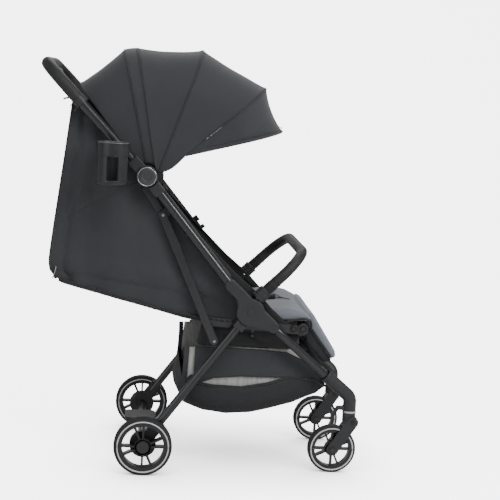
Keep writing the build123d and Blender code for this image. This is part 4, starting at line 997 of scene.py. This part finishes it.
def outline_block(name, outline, half_width, corner=0.010):
    """A closed block from a side-view outline, with rounded long edges."""
    work = bmesh.new()
    ring = [work.verts.new((x, -half_width, z)) for x, z in outline]
    face = work.faces.new(ring)
    pushed = bmesh.ops.extrude_face_region(work, geom=[face])
    moved = [v for v in pushed["geom"] if isinstance(v, bmesh.types.BMVert)]
    bmesh.ops.translate(work, verts=moved, vec=(0, 2 * half_width, 0))
    bmesh.ops.recalc_face_normals(work, faces=work.faces)
    mesh = bpy.data.meshes.new(name)
    work.to_mesh(mesh)
    work.free()
    piece = bpy.data.objects.new(name, mesh)
    bpy.context.collection.objects.link(piece)
    modifier(piece, "BEVEL", width=corner, segments=4, limit_method="ANGLE", angle_limit=radians(35))
    return apply_modifiers(piece)


def pad(name, outline, half_width, corner=0.010, pressure=4.0, voxel=PAD_VOXEL, shape=None):
    """A padded piece: a block, remeshed, shaped and blown up as cloth."""
    piece = outline_block(name, outline, half_width, corner)
    modifier(piece, "REMESH", mode="VOXEL", voxel_size=voxel)
    apply_modifiers(piece)
    if shape:
        for vertex in piece.data.vertices:
            vertex.co = shape(vertex.co)
    rest = [vertex.co.copy() for vertex in piece.data.vertices]
    cloth = piece.modifiers.new("cloth", "CLOTH")
    cloth.settings.use_pressure = True
    cloth.settings.uniform_pressure_force = pressure
    cloth.settings.effector_weights.gravity = 0
    cloth.settings.quality = 5
    cloth.point_cache.frame_start, cloth.point_cache.frame_end = 1, PAD_FRAMES
    for frame_number in range(1, PAD_FRAMES + 1):
        bpy.context.scene.frame_set(frame_number)
    apply_modifiers(piece)
    for vertex, start in zip(piece.data.vertices, rest):
        move = vertex.co - start
        if move.length > PAD_MOST:
            vertex.co = start + move.normalized() * PAD_MOST
    bpy.context.scene.frame_set(1)
    modifier(piece, "SUBSURF", levels=1, render_levels=1)
    apply_modifiers(piece)
    piece.data.shade_smooth()
    print(name, len(piece.data.polygons), "faces")
    return piece


# %% Seat cushion and its cover over the front edge
SEAT_HALF = 0.1845
SEAT_OUTLINE = [(0.172, 0.3925), (0.396, 0.3925), (0.413, 0.4000), (0.400, 0.4090), (0.380, 0.4180),
                (0.355, 0.4220), (0.320, 0.4200), (0.250, 0.4130), (0.172, 0.4090)]


def seat_shape(point):
    """The seat is hollowed a little in the middle and has a sewn channel across it."""
    top = ease((point.z - 0.398) / 0.012)
    hollow = 0.003 * top * (1 - (point.y / SEAT_HALF) ** 2)
    channel = 0.003 * top * bell(point.x, 0.235, CHANNEL_WIDTH)
    return point - Vector((0, 0, hollow + channel))


seat_pad = pad("seat_pad", SEAT_OUTLINE, SEAT_HALF, 0.013, shape=seat_shape)
paint(seat_pad, slate_cloth)
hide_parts("seat_cushion")
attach(seat_pad, "root")

# %% Leg rest
LEGREST = Vector(record_joints["legrest_tilt"]["pos_m"])
LEG_HALF = 0.158
leg_pad = pad("legrest_cover", [(0.396, 0.4080), (0.408, 0.4160), (0.4190, 0.4010), (0.4820, 0.3050),
                                (0.4810, 0.2930), (0.4700, 0.2960), (0.4080, 0.3760)], LEG_HALF, 0.0045,
              voxel=0.0045)
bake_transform(leg_pad)
paint(leg_pad, slate_cloth)
leg_board = pad("legrest_board", [(0.3960, 0.3600), (0.4110, 0.3740), (0.4700, 0.2950), (0.4740, 0.2880),
                                  (0.4500, 0.2850), (0.4060, 0.3300)], LEG_HALF - 0.002, 0.0045, 2.0,
                voxel=0.0045)
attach(leg_board, "legrest")
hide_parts("legrest_pad")
paint(leg_board, lining_cloth)

# %% Backrest: a pad on a cloth-covered board
BACK_ANGLE = radians(166.5)
back_along = Vector((cos(BACK_ANGLE), 0, sin(BACK_ANGLE)))
back_up = Vector((sin(BACK_ANGLE), 0, -cos(BACK_ANGLE)))
BACK_START, BACK_END = 0.004, 0.388


def on_back(run, lift, y=0.0):
    """A point by its run up the backrest, its lift off the middle plane, and its distance to the left."""
    return RECLINE + back_along * run + back_up * lift + Vector((0, y, 0))


def side_view(points):
    """The side-view places of points."""
    return [(p.x, p.z) for p in points]


back_board = pad("backrest_board", side_view([on_back(BACK_START, -0.010), on_back(BACK_END, -0.010),
                                              on_back(BACK_END, 0.001), on_back(BACK_START, 0.001)]),
                 0.181, 0.004, 1.0, voxel=0.0065)
paint(back_board, charcoal_cloth)


def back_shape(point):
    """Three channels across the backrest pad, and one line down each side."""
    run = (point - RECLINE).dot(back_along)
    lift = ease(((point - RECLINE).dot(back_up) - 0.006) / 0.006)
    across = max(bell(run, place, CHANNEL_WIDTH) for place in (0.105, 0.205, 0.305)) * (abs(point.y) < 0.125)
    groove = max(across, bell(abs(point.y), 0.128, CHANNEL_WIDTH))
    return point - back_up * 0.004 * lift * groove


back_pad = pad("backrest_pad", side_view([on_back(BACK_START, 0.000), on_back(BACK_END - 0.004, 0.000),
                                          on_back(BACK_END - 0.004, 0.0125), on_back(BACK_START, 0.0125)]),
               0.180, 0.005, 2.0, voxel=0.005, shape=back_shape)
paint(back_pad, slate_cloth)
for piece, name in ((back_board, "black_cloth"), (back_pad, "slate_cloth")):
    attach(piece, "backrest")
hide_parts("backrest")

# %% Seat base: cloth stretched over a board, with a skirt to the basket
BASE_OUTLINE = [(0.116, 0.3190), (0.362, 0.3190), (0.388, 0.3480), (0.372, 0.3680), (0.380, 0.3915),
                (0.150, 0.3915), (0.128, 0.3700)]


def base_shape(point):
    """Creases from the fixing points across the sides of the base."""
    side = ease((abs(point.y) - 0.16) / 0.02)
    crease = 0.0035 * noise.noise(Vector((point.x * 17, 2.0, point.z * 30 + point.x * 12)))
    return point + Vector((0, (1 if point.y > 0 else -1) * crease * side, 0))


seat_base = pad("seat_base_cloth", BASE_OUTLINE, 0.1835, 0.006, 1.5, voxel=0.0065, shape=base_shape)
paint(seat_base, lining_cloth)
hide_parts("seat_base")
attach(seat_base, "root")

# %% Side wings: padded strips of cloth along the inside of the side tubes
WING_LOW = [(-0.004, 0.719), (0.198, 0.481), (0.248, 0.436)]
WING_TOP = [(0.002, 0.721), (0.039, 0.674), (0.120, 0.592), (0.211, 0.505), (0.271, 0.457)]
for side, hand in ((-1, "right"), (1, "left")):
    def wing_place(u, v, side=side):
        a = along_line([(x, 0, z) for x, z in WING_LOW], u)
        b = along_line([(x, 0, z) for x, z in WING_TOP], u)
        point = a.lerp(b, v)
        swell = 0.0035 * sin(v * pi) + 0.0010 * noise.noise(Vector((point.x * 30, point.z * 30, side)))
        return Vector((point.x, side * (0.1905 + swell), point.z))
    wing = thicken(grid_sheet(f"seat_wing_{hand}", wing_place, 90, 14), 0.0035)
    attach(wing, "root")
    paint(wing, webbing)
    line = [Vector((p.x, side * 0.1905, p.z)) for p in
            (along_line([(x, 0, z) for x, z in WING_TOP], i / 60) for i in range(61))]
    sewn(f"wing_piping_{hand}", [line], thread, 0.0024, 0.0024, "root", 10)

# %% Piping of the pads
for side, hand in ((-1, "right"), (1, "left")):
    arc = [(0.336, 0.386), (0.350, 0.392), (0.367, 0.397), (0.384, 0.4005), (0.398, 0.400), (0.407, 0.394),
           (0.412, 0.384), (0.412, 0.374)]
    line = [along_line([(x, 0, z) for x, z in arc], i / 40) for i in range(41)]
    for point in line:
        point.y = side * mix(0.1865, 0.163, max((point.x - 0.39) / 0.022, 0))
    sewn(f"seat_piping_{hand}", [line], thread, 0.0032, 0.0032, "root", 12)
    rail = [(0.272, 0.447), (0.300, 0.418), (0.336, 0.386), (0.352, 0.378)]
    line = [Vector((p.x, side * 0.1895, p.z)) for p in
            (along_line([(x, 0, z) for x, z in rail], i / 30) for i in range(31))]
    sewn(f"seat_edge_binding_{hand}", [line], webbing, 0.0022, 0.0085, "root", 12)
    line = [Vector((p.x, side * (LEG_HALF + 0.0008), p.z)) for p in
            (along_line([(0.4120, 0, 0.3730), (0.4700, 0, 0.2965)], i / 20) for i in range(21))]
    sewn(f"legrest_piping_{hand}", [line], thread, 0.0018, 0.0018, "legrest", 10)
print("seat done")

# %% [markdown]
# ## The harness
# Five straps meet at a buckle: two over the shoulders with soft pads, two at the waist and one between the
# legs. Webbing is a flat strip that follows a line, so the same sewn-line tree draws it with a flat section.

# %% Harness straps
HARNESS_HALF = 0.060
BUCKLE_DROP = 0.0110          # the buckle sits this much lower, on the sunken pad
BACK_FACE = 0.0155


def shoulder_pad(u, v, side):
    """A soft pad round a shoulder strap, full in the middle and flat at its edges and ends."""
    full = (1 - abs(u * 2 - 1) ** 3) * min(1, 12 * min(v, 1 - v))
    return on_back(mix(0.115, 0.255, v), BACK_FACE + 0.0035 + 0.005 * full,
                   side * (mix(0.0545, 0.0595, v) + (u - 0.5) * 0.052))


for side, hand in ((-1, "right"), (1, "left")):
    shoulder = [on_back(run, BACK_FACE + lift, side * out) for run, lift, out in (
        (0.300, -0.006, HARNESS_HALF), (0.290, 0, HARNESS_HALF), (0.200, 0.003, HARNESS_HALF),
        (0.110, 0.004, 0.054), (0.050, 0.010, 0.046))]
    line = [along_line(shoulder, i / 60) for i in range(61)]
    strap = sewn(f"shoulder_strap_{hand}", [line], webbing, 0.0125, 0.0010, "backrest", 12)
    cover = grid_sheet(f"shoulder_pad_{hand}", lambda u, v, side=side: shoulder_pad(u, v, side), 24, 50)
    thicken(cover, 0.004)
    paint(cover, slate_cloth)
    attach(cover, "backrest")
    waist = [Vector((0.186, side * 0.120, 0.4125)), Vector((0.215, side * 0.100, 0.4135)),
             Vector((0.262, side * 0.055, 0.4165)), Vector((0.294, side * 0.020, 0.4440 - BUCKLE_DROP))]
    line = [along_line(waist, i / 40) for i in range(41)]
    sewn(f"waist_strap_{hand}", [line], webbing, 0.0120, 0.0010, "root", 12)
crotch = [Vector((0.372, 0, 0.4185)), Vector((0.350, 0, 0.4225)), Vector((0.334, 0, 0.4300)),
          Vector((0.325, 0, 0.4440 - BUCKLE_DROP))]
sewn("crotch_strap", [[along_line(crotch, i / 30) for i in range(31)]], webbing, 0.0120, 0.0010, "root", 12)
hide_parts("shoulder_straps")
print("harness done")

# %% [markdown]
# ## Mouldings with soft edges
# Injection-moulded parts have no sharp inner corners: arms flow into each other. The CAD solids keep simple
# edges, so a copy is merged with a few webs, remeshed into even squares and smoothed for a few rounds. The
# outline stays within about a millimetre, but every edge catches light as a moulding does.

# %% Smooth copies
def moulding(name, node, body, material, voxel=0.0014, rounds=6, webs=()):
    """A smoothed copy of a CAD node with side-view webs (outline, inner y, outer y) added on both sides."""
    work = bmesh.new()
    work.from_mesh(frame["nodes"][node].data)
    bmesh.ops.remove_doubles(work, verts=work.verts, dist=1e-5)
    for outline, inner, outer in webs:
        for side in (-1, 1):
            ring = [work.verts.new((x, side * inner, z)) for x, z in outline]
            pushed = bmesh.ops.extrude_face_region(work, geom=[work.faces.new(ring)])
            moved = [v for v in pushed["geom"] if isinstance(v, bmesh.types.BMVert)]
            bmesh.ops.translate(work, verts=moved, vec=(0, side * (outer - inner), 0))
    bmesh.ops.recalc_face_normals(work, faces=work.faces)
    mesh = bpy.data.meshes.new(name)
    work.to_mesh(mesh)
    work.free()
    piece = bpy.data.objects.new(name, mesh)
    bpy.context.collection.objects.link(piece)
    modifier(piece, "REMESH", mode="VOXEL", voxel_size=voxel)
    modifier(piece, "SMOOTH", factor=0.5, iterations=rounds)
    apply_modifiers(piece)
    piece.data.shade_smooth()
    paint(piece, material)
    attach(piece, body)
    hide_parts(node)
    print(name, len(piece.data.polygons))
    return piece


LEFT_WEB = [(0.203, 0.476), (0.214, 0.446), (0.2185, 0.424), (0.2160, 0.402), (0.240, 0.400), (0.248, 0.440),
            (0.228, 0.464)]
LOWER_WEB = [(0.232, 0.3880), (0.262, 0.3815), (0.298, 0.3740), (0.300, 0.3900), (0.250, 0.4100)]
moulding("junction_moulding", "junctions", "root", charcoal_plastic, 0.0016, 10,
         ((LEFT_WEB, 0.2235, 0.2288), (LOWER_WEB, 0.2235, 0.2288), (LEFT_WEB, 0.1992, 0.2045),
          (LOWER_WEB, 0.1992, 0.2045)))
moulding("leg_end_moulding", "leg_ends", "root", charcoal_plastic, 0.0016, 8)
moulding("handle_hub_moulding", "hub_outers", "handle", charcoal_plastic, 0.0014, 5)
moulding("fixed_hub_moulding", "hub_inners", "root", charcoal_plastic, 0.0016, 5)
moulding("cup_moulding", "cup_holder", "handle", cup_plastic, 0.0012, 4)
buckle = moulding("buckle_moulding", "harness_buckle", "root", dark_plastic, 0.0012, 3)
for vertex in buckle.data.vertices:
    vertex.co.z -= BUCKLE_DROP

# %% [markdown]
# ## Turned details
# Caps, rings and screws are round about one axis. A profile of radius and height is turned about it, and a
# Geometry Nodes tree copies one screw head onto every fixing point, so that they are all the same.

# %% Lathe
def lathe(name, centre, axis, profile, material, body, steps=48):
    """A closed turned piece: profile is a list of (radius, height along the axis)."""
    axis = Vector(axis).normalized()
    side = axis.orthogonal().normalized()
    other = axis.cross(side)
    centre = Vector(centre)
    points, faces = [], []
    for radius, high in profile:
        for i in range(steps):
            turn = 2 * pi * i / steps
            points.append(centre + axis * high + (side * cos(turn) + other * sin(turn)) * radius)
    for j in range(len(profile) - 1):
        for i in range(steps):
            k = (i + 1) % steps
            faces.append((j * steps + i, j * steps + k, (j + 1) * steps + k, (j + 1) * steps + i))
    faces.append(tuple(range(steps)))
    faces.append(tuple(range((len(profile) - 1) * steps, len(profile) * steps)))
    piece = outward(new_object(name, points, faces))
    modifier(piece, "EDGE_SPLIT", split_angle=radians(35))
    apply_modifiers(piece)
    paint(piece, material)
    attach(piece, body)
    return piece


def ring_line(centre, axis, radius, steps=96):
    """The points of a circle about an axis."""
    axis = Vector(axis).normalized()
    side = axis.orthogonal().normalized()
    other = axis.cross(side)
    return [Vector(centre) + (side * cos(2 * pi * i / steps) + other * sin(2 * pi * i / steps)) * radius
            for i in range(steps)]


def rings(name, circles, material, half_width, half_height, body):
    """Closed round beads: circles is a list of (centre, axis, radius)."""
    lines = [ring_line(centre, axis, radius) for centre, axis, radius in circles]
    return sewn(name, lines, material, half_width, half_height, body, 10, True)


# %% Screw heads
screw_tree, screw_in, screw_out = new_tree("screw_heads", {
    "Radius": (FLOAT, 0.003), "Height": (FLOAT, 0.0012), "Material": ("NodeSocketMaterial", None)})
screw_body = add_node(screw_tree, "GeometryNodeMeshCylinder", {
    "Vertices": 24, "Radius": screw_in.outputs["Radius"], "Depth": screw_in.outputs["Height"]})
screw_socket_radius = product(screw_tree, screw_in.outputs["Radius"], 0.45)
screw_socket_depth = product(screw_tree, screw_in.outputs["Height"], 1.1)
screw_socket = add_node(screw_tree, "GeometryNodeMeshCylinder", {"Vertices": 6, "Radius": screw_socket_radius,
                                                                 "Depth": screw_socket_depth})
screw_join = add_node(screw_tree, "GeometryNodeJoinGeometry")
screw_tree.links.new(screw_body.outputs["Mesh"], screw_join.inputs["Geometry"])
screw_tree.links.new(screw_socket.outputs["Mesh"], screw_join.inputs["Geometry"])
screw_copy = add_node(screw_tree, "GeometryNodeInstanceOnPoints", {"Points": screw_in.outputs["Geometry"],
                      "Instance": screw_join.outputs["Geometry"], "Rotation": (pi / 2, 0, 0)})
screw_real = add_node(screw_tree, "GeometryNodeRealizeInstances", {
    "Geometry": screw_copy.outputs["Instances"]})
screw_paint = add_node(screw_tree, "GeometryNodeSetMaterial", {"Geometry": screw_real.outputs["Geometry"],
                                                               "Material": screw_in.outputs["Material"]})
screw_tree.links.new(screw_paint.outputs["Geometry"], screw_out.inputs["Geometry"])


def screws(name, places, material, radius, height, body):
    """Screw heads that face sideways, one on each place."""
    made = run_tree(name, new_object(name + "_points", places, []), screw_tree, radius=radius, height=height,
                    material=material)
    made.data.shade_flat()
    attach(made, body)
    return made


FRAME_FACE = 0.2295
LEGREST_LEVER = (0.363, 0.3755)
leg_pivot = Vector(record_joints["rear_leg_fold"]["pos_m"])
for name, out, places, material, radius, height in (
        ("junction_rivets", FRAME_FACE, ((0.198, 0.482), (0.309, 0.382)), zinc_dark, 0.0032, 0.0022),
        ("stay_rivets", 0.2098, ((0.022, 0.647), (0.165, 0.338)), zinc_steel, 0.0036, 0.0020),
        ("hub_rivets", 0.2290, ((0.0065, 0.7110),), zinc_dark, 0.0018, 0.0014),
        ("seat_snaps", 0.1860, ((0.261, 0.3640), (0.261, 0.3520)), zinc_dark, 0.0034, 0.0030),
        ("legrest_lever_rivets", 0.1980, (LEGREST_LEVER,), zinc_dark, 0.0034, 0.0024)):
    made = screws(name, [(x, side * out, z) for side in (-1, 1) for x, z in places], material, radius, height,
                  "root")
    if name == "junction_rivets":
        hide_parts("frame_rivets")

# %% Hub caps, leg rest bosses and rims
FRONT_Y = {"left": 1, "right": -1}
for hand, side in FRONT_Y.items():
    face = side * 0.2360
    rings(f"hub_cap_ring_{hand}", [((HUB.x, face, HUB.z), (0, 1, 0), 0.0222)], bright_metal, 0.0013, 0.0011,
          "handle")
    lathe(f"hub_cap_plate_{hand}", (HUB.x, face, HUB.z), (0, side, 0),
          [(0.0208, -0.001), (0.0208, 0.0002), (0.0198, 0.0008), (0.0115, 0.0008), (0.0105, 0.0001),
           (0.0001, 0.0001)], hub_plate, "handle")
    lathe(f"pivot_pin_head_{hand}", (leg_pivot.x, side * 0.2292, leg_pivot.z), (0, side, 0),
          [(0.0088, -0.003), (0.0088, 0.0002), (0.0078, 0.0011), (0.0001, 0.0011)], charcoal_plastic, "root")
    lathe(f"hub_gusset_{hand}", (HUB.x, side * 0.1860, HUB.z), (0, side, 0),
          [(0.0420, -0.0008), (0.0420, 0.0008), (0.0001, 0.0008)], lining_cloth, "root")
    boss = (LEGREST.x, side * 0.1890, LEGREST.z + 0.004)
    lathe(f"legrest_boss_{hand}", boss, (0, side, 0),
          [(0.0138, -0.006), (0.0138, 0.0040), (0.0120, 0.0062), (0.0086, 0.0062), (0.0082, 0.0040),
           (0.0066, 0.0040), (0.0062, 0.0066), (0.0001, 0.0070)], charcoal_plastic, "root")
    lathe(f"legrest_lever_{hand}", (LEGREST_LEVER[0], side * 0.1900, LEGREST_LEVER[1]), (0, side, 0),
          [(0.0085, -0.003), (0.0085, 0.0060), (0.0070, 0.0074), (0.0001, 0.0074)], dark_plastic, "root")

# %% Wheels: the silver line, the tread ribs and the caps
SILVER_SHARE = 0.875          # radius of the silver line over the wheel radius
CAP_SHARE = 0.285             # the same for the hub cap
for label, joint, radius, width in (("rear_left", "rear_left_wheel_spin", 0.0725, 0.028),
                                    ("rear_right", "rear_right_wheel_spin", 0.0725, 0.028),
                                    ("front_left", "front_left_wheel_spin", 0.0615, 0.024),
                                    ("front_right", "front_right_wheel_spin", 0.0615, 0.024)):
    centre = Vector(record_joints[joint]["pos_m"])
    body = record_joints[joint]["child"]
    low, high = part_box(f"{label}_tyre")
    middle_y = (low[1] + high[1]) / 2
    centre.y = middle_y
    sides = [((centre.x, middle_y + s * (width / 2 - 0.0006), centre.z), (0, 1, 0), radius * SILVER_SHARE)
             for s in (-1, 1)]
    rings(f"{label}_silver_line", sides, silver_line, 0.0018, 0.0018, body)
    ribs = [((centre.x, middle_y + s * width * 0.17, centre.z), (0, 1, 0), radius - 0.0008) for s in (-1, 1)]
    rings(f"{label}_tread_ribs", ribs, foam_tyre, 0.0011, 0.0008, body)
    for s in (-1, 1):
        outer = s * middle_y > 0
        crown = 0.0074 if outer and label.startswith("rear") else 0.0034
        lathe(f"{label}_cap_{'out' if outer else 'in'}", (centre.x, middle_y + s * (width / 2 - 0.004),
              centre.z), (0, s, 0),
              [(radius * CAP_SHARE, -0.003), (radius * CAP_SHARE, 0.0026), (radius * 0.270, 0.0040),
               (radius * 0.225, 0.0040), (radius * 0.200, crown), (0.0001, crown)], charcoal_plastic, body)
FORK_CROWN = (0.533, 0.135)
for hand, side in FRONT_Y.items():
    fork = f"caster_{hand}"
    low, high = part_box(f"front_{hand}_fork")
    axle = Vector(record_joints[f"front_{hand}_wheel_spin"]["pos_m"])
    for s, face in ((-1, low[1]), (1, high[1])):
        facing = "in" if s * side < 0 else "out"
        screws(f"front_{hand}_axle_screw_{facing}", [(axle.x, face + s * 0.0006, axle.z)], zinc_dark, 0.0056,
               0.0028, fork)
        screws(f"front_{hand}_fork_screw_{facing}", [(FORK_CROWN[0], face + s * 0.0002, FORK_CROWN[1])],
               dark_plastic, 0.0045, 0.0020, fork)

# %% Handle, bumper, cup and zip details
grip_axis = Vector((cos(radians(HANDLE_ANGLE)), 0, sin(radians(HANDLE_ANGLE))))
for hand, side in FRONT_Y.items():
    seams = [(HUB + grip_axis * run + Vector((0, side * 0.213, 0)), grip_axis, radius)
             for run, radius in ((0.2485, 0.0158), (0.2335, 0.0160))]
    rings(f"grip_rings_{hand}", seams, thread, 0.0010, 0.0009, "handle")
    foot = Vector((0.266, side * 0.213, 0.452))
    lean = Vector((cos(radians(45)), 0, sin(radians(45))))
    beads = [(foot + lean * run, lean, 0.0140) for run in (0.0360, 0.0420, 0.0480, 0.0620)]
    rings(f"bumper_rings_{hand}", beads, dark_plastic, 0.0016, 0.0012, "bumper")
    collars = [(foot + lean * run, lean, 0.0171) for run in (0.004, 0.012, 0.0265)]
    rings(f"bumper_socket_rings_{hand}", collars, charcoal_plastic, 0.0016, 0.0010, "root")
    # A rib along each side tube, drawn in the lighter bluish colour of a painted highlight line.
    rib = [Vector((x, side * 0.2125, z)) for x, z in
           ((mix(0.006, 0.186, i / 40) + 0.0096, mix(0.7080, 0.4961, i / 40) + 0.0080) for i in range(41))]
    sewn(f"side_tube_rib_{hand}", [rib], tube_edge, 0.0020, 0.0024, "root", 16)
    link = [Vector((-0.024, side * 0.1975, 0.7120)), Vector((-0.001, side * 0.1975, 0.6795)),
            Vector((0.0215, side * 0.1975, 0.6470))]
    sewn(f"stay_link_{hand}", [link], charcoal_plastic, 0.0008, 0.0095, "root", 16)
CUP_AXIS = (-0.105, -0.270)
# The light grey ring on the cup's rim is a painted highlight.
rings("cup_rim", [((*CUP_AXIS, 0.8212), (0, 0, 1), 0.0366)], cup_rim_gloss, 0.0014, 0.0012, "handle")
rings("cup_beads", [((*CUP_AXIS, 0.7905), (0, 0, 1), 0.0381)], cup_plastic, 0.0012, 0.0009, "handle")
for side, hand in ((-1, "right"), (1, "left")):
    y = side * (SIDE_Y + 0.0015)
    sewn(f"zip_puller_{hand}", [[Vector((-0.2335, y, 0.5020)), Vector((-0.2350, y, 0.4930)),
                                 Vector((-0.2400, y, 0.4760))]], bright_metal, 0.0032, 0.0012, "backrest", 12)
    sewn(f"zip_slider_{hand}", [[Vector((-0.2325, y, 0.5080)), Vector((-0.2335, y, 0.4980))]], bright_metal,
         0.0046, 0.0020, "backrest", 12)
sewn("wrist_tab", [[Vector((-0.2040, -0.2050, 0.9210)), Vector((-0.2200, -0.2060, 0.9190)),
                    Vector((-0.2310, -0.2065, 0.9160))]], thread, 0.0045, 0.0022, "handle", 12)


def on_front_seam(share, lift=0.0028):
    """The two places, right and left, at a share of the front hoop from its foot to its crown."""
    foot, crown = Vector((FRONT_HOOP[0], 0, FRONT_HOOP[1])), Vector((FRONT_HOOP[2], 0, FRONT_HOOP[3]))
    point = foot.lerp(crown, share)
    return [Vector((point.x, side * (FRONT_HOOP[4] + lift), point.z)) for side in (-1, 1)]


ZIP_MARKS = ((0.250, 0.275, 0.0020), (0.300, 0.320, 0.0024), (0.330, 0.430, 0.0011))
for index, (start, end, half) in enumerate(ZIP_MARKS):
    firsts, lasts = on_front_seam(start), on_front_seam(end)
    sewn(f"hood_zip_mark_{index}", [[a, a.lerp(b, 0.5), b] for a, b in zip(firsts, lasts)], bright_metal,
         half, half * 0.6, "canopy_front", 10)

# %% [markdown]
# ## Stitches
# A row of short thread stitches runs beside each canopy seam and hem. A Geometry Nodes tree walks along the
# line at a set pitch and lays one small stitch along it at each step.

# %% Stitch rows
stitch_tree, stitch_in, stitch_out = new_tree("stitch_row", {
    "Pitch": (FLOAT, 0.005), "Thread Radius": (FLOAT, 0.0004), "Material": ("NodeSocketMaterial", None)})
stitch_walk = add_node(stitch_tree, "GeometryNodeResampleCurve", {"Curve": stitch_in.outputs["Geometry"],
                       "Length": stitch_in.outputs["Pitch"]}, mode="LENGTH")
stitch_points = add_node(stitch_tree, "GeometryNodeCurveToPoints", {"Curve": stitch_walk.outputs["Curve"]},
                         mode="EVALUATED")
stitch_body = add_node(stitch_tree, "GeometryNodeMeshCylinder", {"Vertices": 6,
                       "Radius": stitch_in.outputs["Thread Radius"],
                       "Depth": product(stitch_tree, stitch_in.outputs["Pitch"], 0.62)})
stitch_copy = add_node(stitch_tree, "GeometryNodeInstanceOnPoints", {
    "Points": stitch_points.outputs["Points"], "Instance": stitch_body.outputs["Mesh"],
    "Rotation": stitch_points.outputs["Rotation"]})
stitch_real = add_node(stitch_tree, "GeometryNodeRealizeInstances", {
    "Geometry": stitch_copy.outputs["Instances"]})
stitch_paint = add_node(stitch_tree, "GeometryNodeSetMaterial", {"Geometry": stitch_real.outputs["Geometry"],
                                                                 "Material": stitch_in.outputs["Material"]})
stitch_tree.links.new(stitch_paint.outputs["Geometry"], stitch_out.inputs["Geometry"])


def stitches(name, lines, body):
    """Rows of thread stitches along lines, on one body."""
    made = run_tree(name, line_curve(name + "_line", lines), stitch_tree, pitch=0.005, thread_radius=0.00042,
                    material=stitch_thread)
    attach(made, body)
    return made


def beside(hoop, shift_x, shift_z=0.0):
    """A hoop's line moved a little along the cloth, for the stitches beside a seam."""
    return [p + Vector((shift_x, 0, shift_z)) for p in hoop_line(hoop, 0.0012)]


stitches("band_stitches", [beside(BAND_BACK, 0.0042), beside(BAND_FRONT, -0.0042)], "root")
stitches("middle_stitches", [beside(MIDDLE_HOOP, 0.0038)], "canopy_middle")
stitches("front_stitches", [beside(FRONT_HOOP, -0.0030, 0.0030)], "canopy_front")
stitches("wing_stitches", [[Vector((x - 0.0035, side * 0.1938, z - 0.0035)) for x, z in WING_TOP[1:-1]]
                           for side in (-1, 1)], "root")
print("details done")
